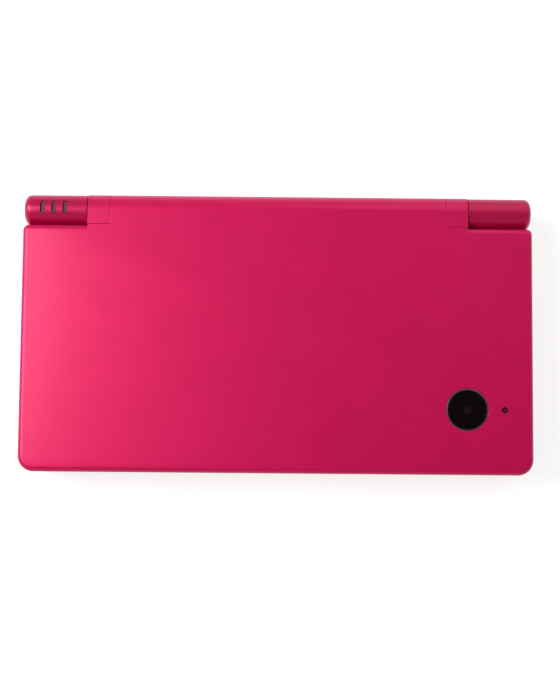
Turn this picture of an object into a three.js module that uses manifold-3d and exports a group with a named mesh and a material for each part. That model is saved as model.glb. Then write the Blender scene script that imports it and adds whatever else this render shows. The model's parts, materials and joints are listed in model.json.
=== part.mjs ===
import * as THREE from 'three';
import { mergeVertices } from 'three/addons/utils/BufferGeometryUtils.js';
import Module from 'manifold-3d';

// Clamshell handheld game console, closed. Millimetres, +Z up, +Y toward the hinge.
// The origin is under the middle of the case, on the surface that the feet stand on.

const wasm = await Module();
wasm.setup();

// Whole console: its width and depth follow from the screens and from what lies round them
const controlZoneWidth = 31.5; // beside the display, on each side
const displayFrontGap = 1.15; // display to the stylus tube
const displayHingeGap = 1.45; // display to the lid's rear wall
const frontCornerRadius = 4.2;

// Clearances
const partGap = 0.3; // between two neighbouring pieces
const seamGap = 0.25; // between the halves of a shell
const cutOverrun = 1; // how far a cut runs past the face that it opens

// Base shells
const footHeight = 0.5;
const footRadius = 3;
const footInsetX = 12.5;
const footInsetY = 6.5;
const footRearInsetY = 10.5;
const lowerShellHeight = 6.25;
const floorThickness = 1.3;
const baseWall = 1.5;
const deckThickness = 1.5;
const deckRecess = 0.8;
const deckRimWidth = 2.3;
const baseRearCornerRadius = 3;
const baseEdgeRadius = 1.5;
const rimEdgeRadius = 0.4;
const rearLipDrop = 1; // how far the rear wall stays below the rim, behind the trough
const troughBacking = 0.9; // how far the trough's underside reaches below the deck
const troughWall = 1.6;

// Lid shells
const lidTopThickness = 1.4;
const lidWall = 1.5;
const lidFaceRecess = 0.8;
const lidFaceThickness = 1.2;
const lidRimWidth = 2.3;
const lidRearCornerRadius = 1.5;
const lidEdgeRadius = 1.4;

// Hinge
const hingeRadius = 4.3; // of the lid's own middle barrel
const barrelStep = 0.15; // how much smaller the base's end barrels are
const barrelLength = 17.1;
const barrelDomeLength = 2.2;
const barrelDomeDrop = 3.2;
const barrelWall = 1;
const barrelEndWall = 2.6;
const knuckleLength = 5.8;
const knuckleBoreRadius = 2.3;
const hingeBarrelWall = 1.2;
const troughGap = 0.7;
const clickEndGap = 2.5;
const bushEndGap = 0.68;
const flexRadius = 1.2;
const flexReach = 3; // past each end of the bush

// Status lights in the left barrel
const lightWidth = 1.2;
const lightLength = 3.45;
const lightPitch = 3.02;
const lightFromEnd = 8.2; // middle light to the end of the barrel
const lightTilt = 4; // degrees behind the top of the barrel
const lightGuideHalfHeight = 1.1;
const lightGuideHalfDepth = 1.7;
const lightInset = 0.2; // top of the guide below the barrel's surface

// Screens
const screenWidth = 66;
const screenDepth = 49.5;
const screenBorderX = 2.5;
const screenBorderY = 2;
const displayThickness = 1.7;
const displayUnderGap = 0.2;
const touchPanelThickness = 0.5;
const touchPanelMargin = 1.8;
const deckBezelThickness = 0.7;
const lensThickness = 0.7;
const lensBorderX = 4;
const lensBorderY = 2.4;

// Circuit boards
const boardThickness = 1;
const boardDisplayGap = 0.5;
const boardSideSpace = 3;
const boardBossGap = 1.4;
const boardBridgeDepth = 6; // strip between the battery and the card slot
const wirelessWidth = 14;
const wirelessDepth = 22;
const wirelessHeight = 3;
const wirelessSideGap = 1; // to the edge of the main board above
const wirelessFrontGap = 4; // to the headphone jack

// Battery and its cover
const batteryWidth = 50;
const batteryHeight = 4.8;
const batteryX = -9;
const batteryFrontSpace = 1.9;
const batteryCoverThickness = 0.8;
const batteryCoverEdge = 1.3;
const batteryCoverMarginY = 2;
const batteryLedge = 1.4;
const coverGripWidth = 16;

// Screws
const screwShankRadius = 0.7;
const screwHeadRadius = 1.5;
const screwHeadHeight = 0.9;
const screwSlotWidth = 0.45;
const screwSlotDepth = 0.4;
const caseScrewSeat = 1.7; // bottom face of the case to the seat of the head
const caseScrewLength = 4.6;
const caseBossHeight = 2.4; // above the floor
const caseBossRadius = 2.6;
const caseScrewSideInset = 7;
const caseBossSpace = 1;
const caseBossRearSpace = 1.7;
const caseBossTriggerSpace = 1.2; // to the trigger's ear
const coverScrewHeadHeight = 0.35;
const coverScrewLength = 3;
const coverBossHeight = 2.7;
const coverBossRadius = 1.9;

// Stylus
const stylusRadius = 2.45;
const stylusLength = 92;
const stylusTipLength = 5;
const stylusTipRadius = 0.9;
const stylusHeadLength = 6;
const stylusHeadRadius = 2.1;
const tubeThickness = 0.35;
const tubeWallGap = 0.85;
const tubeEndGap = 0.6;

// Cards, sockets and ports
const cardSlotWidth = 35;
const cardSlotDepth = 33;
const cardSlotHeight = 4.5;
const cardSlotWall = 1;
const cardSlotRoof = 0.4;
const cardContactDepth = 4.4;
const cardContactDrop = 0.3; // under the board
const cardPinCount = 17;
const cardPinWidth = 1;
const cardPinDepth = 1.2;
const memorySocketWidth = 23.5;
const memorySocketDepth = 25;
const memoryDoorSpace = 4.35; // to the trigger's opening
const memoryCardWidth = 23;
const memoryCardHeight = 2.2;
const memorySocketHeight = 3.3;
const memoryDoorHeight = 3.4;
const memoryDoorThickness = 1.4;
const portWidth = 11;
const portSlotGap = 3; // to the card slot
const portDepth = 9.6;
const portMouthWidth = 8.4;
const portMouthHeight = 2.2;
const portTongueWidth = 5;
const portTongueHeight = 0.7;
const jackWidth = 6.4;
const jackDepth = 12;
const jackHeight = 4.6;
const jackSideInset = 18.5;
const jackBoreRadius = 1.75;
const jackCollarRadius = 2.2;

// Controls
const buttonProud = 0.9; // above the deck
const buttonRadius = 3.6;
const buttonFlange = 0.7;
const buttonFlangeHeight = 0.5;
const buttonEdge = 0.4;
const clusterRise = 5; // behind the middle of the screen
const clusterSideInset = 16.5; // to the side of the case
const clusterRadius = 7.8;
const smallButtonRadius = 2;
const smallButtonInset = 8.5; // to the middle of the face buttons
const smallButtonProud = 0.6;
const smallButtonPitch = 8;
const smallButtonFrontGap = 5.1; // to the front edge of the main board
const powerButtonRadius = 2.5;
const padSpan = 20;
const padArm = 6.6;
const padGap = 0.35;
const padDishRadius = 6.6;
const padDishHeight = 0.25;
const padHeight = 0.8; // below the underside of the deck
const padRubberGap = 0.4;
const padCornerRadius = 0.8;
const padRubberRadius = 6.5;
const padRubberHeight = 0.5;
const membraneHeight = 0.7;
const membraneMargin = 3.4;
const rockerLength = 12;
const rockerHeight = 2.6;
const rockerThickness = 2.2;
const rockerSpace = 7.8; // to the trigger's opening
const rockerPlay = 0.45;
const rockerDrop = 2.15; // below the seam
const volumeSwitchDepth = 3.6;

// Triggers at the rear corners
const triggerWidth = 22.5;
const triggerSideLength = 6.4;
const triggerThickness = 2.2;
const triggerFloorSpace = 1.7;
const triggerRimSpace = 2;
const triggerPlay = 1.1;
const triggerPinRadius = 0.9;
const triggerEarRadius = 2.2;
const triggerPivotInset = 4.2; // from the rear face
const triggerArmWidth = 3;
const triggerArmLength = 2.6;
const triggerSwitchWidth = 5;
const triggerSwitchHeight = 1.6;
const triggerSwitchDepth = 3.4;
const triggerSwitchOverhang = 1;
const triggerSwitchGap = 0.5;

// Outer camera and its light
const cameraFromSide = 17.7;
const cameraFromFront = 17.3;
const cameraRadius = 5.6;
const cameraWindowRadius = 4.9;
const cameraRingHeight = 1.9;
const cameraRingSeat = 0.9;
const cameraWindowThickness = 0.7;
const cameraInset = 0.1; // below the top of the lid
const cameraModuleWidth = 7.4;
const cameraModuleGap = 1.2; // to the face plate below
const cameraLensRadius = 2.4;
const indicatorPitch = 10; // from the middle of the camera
const indicatorRadius = 0.85;
const indicatorGuideRadius = 0.55;
const indicatorInset = 0.3;
const indicatorFlangeRadius = 1.5;
const indicatorFlangeHeight = 0.6;

// Inner camera and microphone, in the middle barrel of the hinge
const innerCameraX = 0;
const innerCameraRadius = 1.9;
const innerCameraHeight = 2.8;
const microphoneX = 9;
const microphoneRadius = 1.3;
const microphoneHeight = 1.4;
const microphoneHoleRadius = 0.5;

// Speakers in the lid
const speakerRadius = 7;
const speakerSideInset = 16; // to the side of the lid
const speakerRoofGap = 1.4;
const speakerStep = 1.4;
const speakerHoleRadius = 0.65;
const speakerHoleCircle = 3.4;
const speakerHoleCount = 6;

// Smoothness of round shapes
const roundSides = 28;
const smallSides = 14;
const cornerSteps = 5;
const edgeSteps = 4;
const weld = 0.0001;
const leastRoundShare = 0.05; // least corner radius of an inset outline

// Finishes
const shellFinish = { color: 0xd2195a, roughness: 0.45, metalness: 0 };
const deckFinish = { color: 0xc81c58, roughness: 0.5, metalness: 0 };
const controlFinish = { color: 0xe4477f, roughness: 0.35, metalness: 0 };
const displayFinish = { color: 0x17161a, roughness: 0.3, metalness: 0 };
const glassFinish = { color: 0x0c0c10, roughness: 0.12, metalness: 0 };
const footFinish = { color: 0x4b4a4e, roughness: 0.8, metalness: 0 };
const padFinish = { color: 0xb9b6b2, roughness: 0.8, metalness: 0 };
const greyFinish = { color: 0xb0aeab, roughness: 0.45, metalness: 0 };
const boardFinish = { color: 0x1f5a3a, roughness: 0.55, metalness: 0 };
const metalFinish = { color: 0xb9bcc0, roughness: 0.35, metalness: 0.9 };
const batteryFinish = { color: 0x3b3c42, roughness: 0.6, metalness: 0 };
const clearFinish = { color: 0xd9dde2, roughness: 0.2, metalness: 0 };
const blackFinish = { color: 0x2a2a2f, roughness: 0.5, metalness: 0 };
const flexFinish = { color: 0xb0652c, roughness: 0.5, metalness: 0 };

// Places worked out from the sizes above
const quarter = Math.PI / 2;
const displayWidth = screenWidth + 2 * screenBorderX;
const displayDepth = screenDepth + 2 * screenBorderY;
const tubeRadius = stylusRadius + partGap + tubeThickness;
const barrelRadius = hingeRadius - barrelStep;
const barrelBoreRadius = barrelRadius - barrelWall;

const halfWidth = displayWidth / 2 + controlZoneWidth + baseWall;
const consoleWidth = 2 * halfWidth;
const frontZoneDepth = baseWall + tubeWallGap + 2 * tubeRadius + displayFrontGap;
const rearZoneDepth = displayHingeGap + lidWall + partGap + barrelRadius + hingeRadius;
const consoleDepth = frontZoneDepth + displayDepth + rearZoneDepth;
const frontY = -consoleDepth / 2;
const rearY = consoleDepth / 2;
const screenY = frontY + frontZoneDepth + displayDepth / 2;
const hingeY = rearY - hingeRadius;
const baseRearY = hingeY + barrelRadius;
const lidRearY = hingeY - barrelRadius - partGap;

const bottomZ = footHeight;
const floorZ = bottomZ + floorThickness;
const cardSlotZ = floorZ + partGap;
const tallestUnderDisplay = Math.max(cardSlotHeight + cardSlotRoof, batteryHeight);
const displayStack = partGap + tallestUnderDisplay + displayUnderGap + displayThickness;
const tubeStack = 2 * (partGap + tubeRadius);
const deckUnderZ = floorZ + Math.max(displayStack, tubeStack);
const deckZ = deckUnderZ + deckThickness;
const bezelZ = deckZ - deckBezelThickness;
const rimZ = deckZ + deckRecess;
const seamZ = bottomZ + lowerShellHeight;
const upperShellZ = seamZ + seamGap;
const boardTopZ = deckUnderZ - displayThickness - boardDisplayGap;
const boardZ = boardTopZ - boardThickness;
const membraneTopZ = boardTopZ + membraneHeight;
const flangeTopZ = deckUnderZ - partGap;
const flangeZ = flangeTopZ - buttonFlangeHeight;
const troughRadius = hingeRadius + troughGap;
const hingeZ = deckUnderZ - troughBacking + troughWall + troughRadius;
const consoleHeight = hingeZ + hingeRadius;

const lidZ = rimZ + partGap;
const lidFaceZ = lidZ + lidFaceRecess;
const lidFaceTopZ = lidFaceZ + lidFaceThickness;
const lidRoofZ = consoleHeight - lidTopThickness;
const frameTopZ = hingeZ - seamGap / 2;
const coverZ = frameTopZ + seamGap;

const barrelInnerX = halfWidth - barrelLength;
const knuckleOuterX = barrelInnerX - seamGap;
const knuckleInnerX = knuckleOuterX - knuckleLength;
const clickUnitLength = barrelLength - barrelEndWall - clickEndGap;
const bushLength = barrelLength - lightFromEnd - lightPitch - lightWidth - bushEndGap;

const stylusY = frontY + baseWall + tubeWallGap + tubeRadius;
const stylusZ = floorZ + partGap + tubeRadius;
const jackX = -halfWidth + jackSideInset;
const jackRearY = frontY + baseWall + jackDepth;

const triggerInnerX = halfWidth - triggerWidth;
const triggerOpeningY = baseRearY - triggerSideLength - triggerPlay;
const triggerPivotY = baseRearY - triggerPivotInset;
const triggerBottomZ = floorZ + triggerFloorSpace;
const triggerTopZ = rimZ - triggerRimSpace;
const triggerPinTopZ = deckUnderZ - troughBacking - partGap;
const triggerArmX = triggerInnerX + triggerWidth / 2;
const triggerArmY = baseRearY - triggerThickness - triggerArmLength;
const triggerSwitchRearY = triggerArmY - triggerSwitchGap;

const caseScrewFrontX = halfWidth - caseScrewSideInset;
const caseScrewRearX = triggerInnerX - triggerEarRadius - caseBossTriggerSpace - caseBossRadius;
const caseScrewRearY = baseRearY - baseWall - caseBossRearSpace - caseBossRadius;
const caseScrewZ = bottomZ + caseScrewSeat;
const caseBossTopZ = floorZ + caseBossHeight;

const boardHalfWidth = halfWidth - baseWall - boardSideSpace;
const boardFrontY = stylusY + tubeRadius + partGap;
const boardRearY = caseScrewRearY - caseBossRadius - boardBossGap;
const caseScrewFrontY = boardFrontY + caseBossSpace + caseBossRadius;
const wirelessX = -boardHalfWidth + wirelessSideGap + wirelessWidth / 2;
const wirelessY = jackRearY + wirelessFrontGap + wirelessDepth / 2;

const cardSlotFrontY = baseRearY - baseWall - cardSlotDepth + partGap;
const batteryRearY = cardSlotFrontY - boardBridgeDepth - partGap;
const batteryFrontY = boardFrontY + batteryFrontSpace;
const batteryDepth = batteryRearY - batteryFrontY;
const batteryY = (batteryRearY + batteryFrontY) / 2;
const batteryZ = floorZ + partGap;
const batteryCoverMarginX = batteryLedge + 2 * coverBossRadius + batteryCoverEdge;
const memorySocketZ = boardZ - memorySocketHeight;
const memorySocketY = triggerOpeningY - memoryDoorSpace - (memoryDoorThickness + memorySocketWidth) / 2;
const cardSlotSide = cardSlotWidth / 2 + cardSlotWall;
const portX = cardSlotSide + portSlotGap + portWidth / 2;
const portZ = memorySocketZ;

const clusterX = halfWidth - clusterSideInset;
const clusterY = screenY + clusterRise;
const padX = -clusterX;
const smallButtonX = clusterX - smallButtonInset;
const powerButtonX = -smallButtonX;
const selectButtonY = boardFrontY + smallButtonFrontGap;
const startButtonY = selectButtonY + smallButtonPitch;
const rockerY = triggerOpeningY - rockerSpace - rockerLength / 2;
const rockerZ = seamZ - rockerDrop;

const cameraX = halfWidth - cameraFromSide;
const cameraY = frontY + cameraFromFront;
const cameraModuleHeight = consoleHeight - cameraInset - cameraRingHeight - cameraModuleGap - lidFaceTopZ;
const indicatorX = cameraX + indicatorPitch;
const lensWidth = screenWidth + 2 * lensBorderX;
const lensDepth = screenDepth + 2 * lensBorderY;
const speakerX = halfWidth - speakerSideInset;
const speakerY = screenY;
const speakerHeight = lidRoofZ - speakerRoofGap - lidFaceTopZ;

// A closed three.js geometry as a solid that can be cut and joined.
function solid(geometry) {
  geometry.deleteAttribute('normal');
  geometry.deleteAttribute('uv');
  const merged = mergeVertices(geometry, weld);
  const triangles = [];
  for (let at = 0; at < merged.index.count; at += 3) {
    const a = merged.index.getX(at);
    const b = merged.index.getX(at + 1);
    const c = merged.index.getX(at + 2);
    if (a !== b && b !== c && c !== a) triangles.push(a, b, c);
  }
  const mesh = new wasm.Mesh({
    numProp: 3,
    vertProperties: new Float32Array(merged.attributes.position.array),
    triVerts: new Uint32Array(triangles),
  });
  return new wasm.Manifold(mesh);
}

// The faces of a solid as a three.js geometry.
function faces(body) {
  const mesh = body.getMesh();
  const geometry = new THREE.BufferGeometry();
  const places = new THREE.BufferAttribute(new Float32Array(mesh.vertProperties), mesh.numProp);
  geometry.setAttribute('position', places);
  geometry.setIndex(new THREE.BufferAttribute(new Uint32Array(mesh.triVerts), 1));
  const flat = geometry.toNonIndexed();
  flat.computeVertexNormals();
  return flat;
}

function unite(list) {
  return list.reduce((whole, next) => whole.add(next));
}

function carve(body, cuts) {
  return cuts.reduce((rest, cut) => rest.subtract(cut), body);
}

function block(x0, x1, y0, y1, z0, z1) {
  const geometry = new THREE.BoxGeometry(x1 - x0, y1 - y0, z1 - z0);
  geometry.translate((x0 + x1) / 2, (y0 + y1) / 2, (z0 + z1) / 2);
  return solid(geometry);
}

// A block given by its middle in plan.
function slab(x, y, width, depth, z0, z1) {
  return block(x - width / 2, x + width / 2, y - depth / 2, y + depth / 2, z0, z1);
}

function upright(radius, x, y, z0, z1, sides = roundSides) {
  const geometry = new THREE.CylinderGeometry(radius, radius, z1 - z0, sides);
  geometry.rotateX(quarter);
  geometry.translate(x, y, (z0 + z1) / 2);
  return solid(geometry);
}

function rodAlongX(radius, x0, x1, y, z, sides = roundSides) {
  const geometry = new THREE.CylinderGeometry(radius, radius, x1 - x0, sides);
  geometry.rotateZ(quarter);
  geometry.translate((x0 + x1) / 2, y, z);
  return solid(geometry);
}

function rodAlongY(radius, y0, y1, x, z, sides = roundSides) {
  const geometry = new THREE.CylinderGeometry(radius, radius, y1 - y0, sides);
  geometry.translate(x, (y0 + y1) / 2, z);
  return solid(geometry);
}

// A turned shape about an upright axis; the profile is a list of [radius, height].
function turned(profile, x, y, z, sides = roundSides) {
  const points = profile.map(([radius, height]) => new THREE.Vector2(radius, height));
  const geometry = new THREE.LatheGeometry(points, sides);
  geometry.rotateX(quarter);
  geometry.translate(x, y, z);
  return solid(geometry);
}

// A turned shape about an axis along X; the profile is a list of [radius, x].
function turnedAlongX(profile, y, z, sides = roundSides) {
  const points = profile.map(([radius, length]) => new THREE.Vector2(radius, length));
  const geometry = new THREE.LatheGeometry(points, sides);
  geometry.rotateZ(-quarter);
  geometry.translate(0, y, z);
  return solid(geometry);
}

// The outline of a rectangle with round corners, counter-clockwise from above.
function outline(box, inset) {
  const corners = [
    [box.x1, box.y0, 1, -1, box.front],
    [box.x1, box.y1, 1, 1, box.rear],
    [box.x0, box.y1, -1, 1, box.rear],
    [box.x0, box.y0, -1, -1, box.front],
  ];
  const points = [];
  corners.forEach(([x, y, alongX, alongY, radius], number) => {
    const round = Math.max(radius - inset, radius * leastRoundShare);
    const middleX = x - alongX * (inset + round);
    const middleY = y - alongY * (inset + round);
    for (let step = 0; step <= cornerSteps; step += 1) {
      const angle = (number - 1 + step / cornerSteps) * quarter;
      points.push([middleX + round * Math.cos(angle), middleY + round * Math.sin(angle)]);
    }
  });
  return points;
}

// Levels of a body whose bottom and top edges are rounded, as heights and insets.
function levels(z0, z1, bottomRadius, topRadius) {
  const list = [];
  for (let step = 0; step < edgeSteps; step += 1) {
    const angle = (step / edgeSteps) * quarter;
    const inset = bottomRadius * (1 - Math.sin(angle));
    if (bottomRadius > 0) list.push([z0 + bottomRadius * (1 - Math.cos(angle)), inset]);
  }
  list.push([z0 + bottomRadius, 0]);
  list.push([z1 - topRadius, 0]);
  for (let step = 1; step <= edgeSteps; step += 1) {
    const angle = (step / edgeSteps) * quarter;
    const inset = topRadius * (1 - Math.cos(angle));
    if (topRadius > 0) list.push([z1 - topRadius * (1 - Math.sin(angle)), inset]);
  }
  return list;
}

// A body built of outlines stacked at the given levels.
function stack(box, heights, extraInset = 0) {
  const rings = heights.map(([z, inset]) => (
    outline(box, inset + extraInset).map(([x, y]) => [x, y, z])
  ));
  const count = rings[0].length;
  const positions = rings.flat(2);
  const index = [];
  for (let ring = 0; ring + 1 < rings.length; ring += 1) {
    for (let at = 0; at < count; at += 1) {
      const a = ring * count + at;
      const b = ring * count + ((at + 1) % count);
      index.push(a, b, b + count, a, b + count, a + count);
    }
  }
  const top = (rings.length - 1) * count;
  for (let at = 1; at + 1 < count; at += 1) {
    index.push(0, at + 1, at);
    index.push(top, top + at, top + at + 1);
  }
  const geometry = new THREE.BufferGeometry();
  geometry.setAttribute('position', new THREE.Float32BufferAttribute(positions, 3));
  geometry.setIndex(index);
  return solid(geometry);
}

function straight(box, inset, z0, z1) {
  return stack(box, levels(z0, z1, 0, 0), inset);
}

const object = new THREE.Group();

function add(name, body, finish) {
  const mesh = new THREE.Mesh(faces(body), new THREE.MeshStandardMaterial(finish));
  mesh.name = name;
  object.add(mesh);
}

// Outlines in plan
const baseBox = {
  x0: -halfWidth,
  x1: halfWidth,
  y0: frontY,
  y1: baseRearY,
  front: frontCornerRadius,
  rear: baseRearCornerRadius,
};
const lidBox = { ...baseBox, y1: lidRearY, rear: lidRearCornerRadius };
const deckBox = { ...baseBox, y1: lidRearY };

// The space that a trigger moves in, on one side.
function triggerSpace(side) {
  const inner = side * (triggerInnerX - partGap);
  const outer = side * (halfWidth + cutOverrun);
  const low = triggerBottomZ - partGap;
  const high = triggerTopZ + partGap;
  return block(Math.min(inner, outer), Math.max(inner, outer), triggerOpeningY, rearY + cutOverrun,
    low, high);
}

const caseScrewPlaces = [
  ['front_left', -caseScrewFrontX, caseScrewFrontY],
  ['front_right', caseScrewFrontX, caseScrewFrontY],
  ['rear_left', -caseScrewRearX, caseScrewRearY],
  ['rear_right', caseScrewRearX, caseScrewRearY],
];

const coverWidth = batteryWidth + 2 * batteryCoverMarginX;
const coverDepth = batteryDepth + 2 * batteryCoverMarginY;
const coverScrewOffset = batteryWidth / 2 + coverBossRadius + batteryLedge;
const coverScrewXs = [batteryX - coverScrewOffset, batteryX + coverScrewOffset];

function batteryBayCuts() {
  const cuts = [
    slab(batteryX, batteryY, coverWidth + 2 * partGap, coverDepth + 2 * partGap,
      bottomZ - cutOverrun, bottomZ + batteryCoverThickness),
    slab(batteryX, batteryY, batteryWidth + 2 * partGap, batteryDepth + 2 * partGap,
      bottomZ - cutOverrun, floorZ + cutOverrun),
  ];
  for (const x of coverScrewXs) {
    const top = floorZ + coverBossHeight - partGap;
    cuts.push(upright(screwShankRadius + partGap, x, batteryY, bottomZ - cutOverrun, top, smallSides));
  }
  return cuts;
}

function sideOpenings() {
  const doorHalf = memorySocketWidth / 2 + memoryDoorThickness / 2 + partGap;
  const doorMiddleZ = memorySocketZ + memorySocketHeight / 2;
  const doorHalfZ = memoryDoorHeight / 2 + partGap;
  const rockerHalf = rockerLength / 2 + partGap;
  const rockerHalfZ = rockerHeight / 2 + partGap;
  const inside = halfWidth - baseWall - cutOverrun;
  const outside = halfWidth + cutOverrun;
  return [
    block(inside, outside, memorySocketY - doorHalf, memorySocketY + doorHalf,
      doorMiddleZ - doorHalfZ, doorMiddleZ + doorHalfZ),
    block(-outside, -inside, rockerY - rockerHalf, rockerY + rockerHalf,
      rockerZ - rockerHalfZ, rockerZ + rockerHalfZ),
    rodAlongX(stylusRadius + partGap, inside, outside, stylusY, stylusZ, smallSides),
  ];
}

function endOpenings() {
  const inside = baseRearY - baseWall - cutOverrun;
  const outside = rearY + cutOverrun;
  const slotHalf = cardSlotWidth / 2 + partGap;
  const portMiddleZ = portZ + memorySocketHeight / 2;
  const jackZ = floorZ + partGap + jackHeight / 2;
  return [
    block(-slotHalf, slotHalf, inside, outside, floorZ, cardSlotZ + cardSlotHeight + partGap),
    slab(portX, (inside + outside) / 2, portMouthWidth + 2 * partGap, outside - inside,
      portMiddleZ - portMouthHeight / 2 - partGap, portMiddleZ + portMouthHeight / 2 + partGap),
    rodAlongY(jackCollarRadius + partGap, frontY - cutOverrun, frontY + baseWall + cutOverrun,
      jackX, jackZ, smallSides),
  ];
}

function lowerShell() {
  const heights = levels(bottomZ, seamZ, baseEdgeRadius, 0);
  const shell = stack(baseBox, heights).subtract(straight(baseBox, baseWall, floorZ, seamZ + cutOverrun));
  const bosses = caseScrewPlaces.map(([, x, y]) => (
    upright(caseBossRadius, x, y, floorZ - partGap, caseBossTopZ)
  ));
  const coverBosses = coverScrewXs.map((x) => (
    upright(coverBossRadius, x, batteryY, floorZ - partGap, floorZ + coverBossHeight, smallSides)
  ));
  const pins = [-1, 1].map((side) => (
    upright(triggerPinRadius, side * triggerInnerX, triggerPivotY,
      floorZ - partGap, triggerPinTopZ, smallSides)
  ));
  const whole = unite([shell, ...bosses, ...coverBosses]);
  const spaces = [triggerSpace(-1), triggerSpace(1)];
  const cuts = [...batteryBayCuts(), ...sideOpenings(), ...endOpenings(), ...spaces];
  for (const [, x, y] of caseScrewPlaces) {
    cuts.push(upright(screwHeadRadius + partGap, x, y, bottomZ - cutOverrun, caseScrewZ, smallSides));
    cuts.push(upright(screwShankRadius + partGap, x, y, bottomZ, caseBossTopZ + cutOverrun, smallSides));
  }
  return unite([carve(whole, cuts), ...pins]);
}

// One end barrel, with its domed end, its saddle and the bore for what sits in it.
function endBarrel(side) {
  const dome = [[0, barrelInnerX], [barrelRadius, barrelInnerX]];
  for (let step = 0; step <= edgeSteps; step += 1) {
    const angle = (step / edgeSteps) * quarter;
    const radius = barrelRadius - barrelDomeDrop * (1 - Math.cos(angle));
    dome.push([radius, halfWidth - barrelDomeLength * (1 - Math.sin(angle))]);
  }
  dome.push([0, halfWidth]);
  const right = turnedAlongX(dome, hingeY, hingeZ);
  const saddleEnd = halfWidth - barrelDomeLength;
  const saddle = block(barrelInnerX, saddleEnd, hingeY - barrelRadius, baseRearY, deckUnderZ, hingeZ);
  const outerPiece = right.add(saddle);
  const boreEnd = halfWidth - barrelEndWall;
  const bore = rodAlongX(barrelBoreRadius, barrelInnerX - cutOverrun, boreEnd, hingeY, hingeZ);
  const piece = outerPiece.subtract(bore);
  return side > 0 ? piece : piece.mirror([1, 0, 0]);
}

// One rounded status light, as a body that stands out of the barrel.
function lightBody(x, margin, lowRadius, highRadius) {
  const halfLength = lightLength / 2 + margin;
  const halfWide = lightWidth / 2 + margin;
  const ends = [-1, 1].map((end) => (
    upright(halfWide, x, end * (halfLength - halfWide), lowRadius, highRadius, smallSides)
  ));
  const middle = slab(x, 0, 2 * halfWide, 2 * (halfLength - halfWide), lowRadius, highRadius);
  return unite([middle, ...ends]).rotate([-lightTilt, 0, 0]).translate([0, hingeY, hingeZ]);
}

const lightXs = [-1, 0, 1].map((place) => -halfWidth + lightFromEnd + place * lightPitch);

function deckOpenings() {
  const windowFront = screenY - screenDepth / 2 - partGap;
  const windowRear = screenY + screenDepth / 2 + partGap;
  const panelWidth = screenWidth + 2 * touchPanelMargin;
  const panelDepth = screenDepth + 2 * touchPanelMargin;
  const cuts = [
    block(-screenWidth / 2 - partGap, screenWidth / 2 + partGap, windowFront, windowRear, deckUnderZ, rimZ),
    slab(0, screenY, panelWidth + 2 * partGap, panelDepth + 2 * partGap, deckUnderZ - cutOverrun, bezelZ),
  ];
  for (const [, x, y] of faceButtonPlaces) {
    cuts.push(upright(buttonRadius + partGap, x, y, deckUnderZ - cutOverrun, rimZ));
  }
  for (const [, x, y, radius] of smallButtonPlaces) {
    cuts.push(upright(radius + partGap, x, y, deckUnderZ - cutOverrun, rimZ, smallSides));
  }
  cuts.push(crossBody(padGap, deckUnderZ - cutOverrun, rimZ));
  return cuts;
}

function upperShell() {
  const heights = levels(upperShellZ, rimZ, 0, rimEdgeRadius);
  const shell = stack(baseBox, heights);
  const cavity = straight(baseBox, baseWall, upperShellZ - cutOverrun, deckUnderZ);
  const backing = block(-barrelInnerX, barrelInnerX, hingeY - troughRadius, baseRearY - baseWall,
    deckUnderZ - troughBacking, deckUnderZ + partGap);
  const bosses = caseScrewPlaces.map(([, x, y]) => (
    upright(caseBossRadius - partGap, x, y, caseBossTopZ + partGap, deckUnderZ + partGap)
  ));
  const whole = unite([shell.subtract(cavity), backing, ...bosses]);
  const cuts = [
    straight(deckBox, deckRimWidth, deckZ, rimZ + cutOverrun),
    rodAlongX(troughRadius, -barrelInnerX, barrelInnerX, hingeY, hingeZ),
    block(-barrelInnerX, barrelInnerX, hingeY, rearY + cutOverrun, rimZ - rearLipDrop, rimZ + cutOverrun),
    ...sideOpenings(),
    ...endOpenings(),
    ...deckOpenings(),
  ];
  for (const [, x, y] of caseScrewPlaces) {
    const top = caseScrewZ + caseScrewLength + partGap;
    cuts.push(upright(screwShankRadius + partGap, x, y, caseBossTopZ, top, smallSides));
  }
  const carved = carve(whole, cuts);
  const barrels = unite([carved, endBarrel(-1), endBarrel(1)]);
  const slots = lightXs.map((x) => lightBody(x, 0, 0, hingeRadius + cutOverrun));
  return carve(barrels, [...slots, triggerSpace(-1), triggerSpace(1)]);
}

function batteryCover() {
  const cover = slab(batteryX, batteryY, coverWidth, coverDepth, bottomZ, bottomZ + batteryCoverThickness);
  const cuts = coverScrewXs.flatMap((x) => [
    upright(screwHeadRadius + partGap, x, batteryY,
      bottomZ - cutOverrun, bottomZ + coverScrewHeadHeight, smallSides),
    upright(screwShankRadius + partGap, x, batteryY, bottomZ, floorZ, smallSides),
  ]);
  const grip = slab(batteryX, batteryY - coverDepth / 2, coverGripWidth, batteryLedge,
    bottomZ - cutOverrun, bottomZ + screwSlotDepth);
  return carve(cover, [...cuts, grip]);
}

function screw(x, y, z, headHeight, length) {
  const head = upright(screwHeadRadius, x, y, z - headHeight, z, smallSides);
  const shank = upright(screwShankRadius, x, y, z, z + length, smallSides);
  const depth = Math.min(screwSlotDepth, headHeight / 2);
  const low = z - headHeight - cutOverrun;
  const high = z - headHeight + depth;
  const across = slab(x, y, 2 * (screwHeadRadius - partGap), screwSlotWidth, low, high);
  const along = slab(x, y, screwSlotWidth, 2 * (screwHeadRadius - partGap), low, high);
  return carve(head.add(shank), [across, along]);
}

const faceButtonPlaces = [
  ['button_east', clusterX + clusterRadius, clusterY],
  ['button_south', clusterX, clusterY - clusterRadius],
  ['button_north', clusterX, clusterY + clusterRadius],
  ['button_west', clusterX - clusterRadius, clusterY],
];
const smallButtonPlaces = [
  ['start_button', smallButtonX, startButtonY, smallButtonRadius],
  ['select_button', smallButtonX, selectButtonY, smallButtonRadius],
  ['power_button', powerButtonX, selectButtonY, powerButtonRadius],
];

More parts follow.
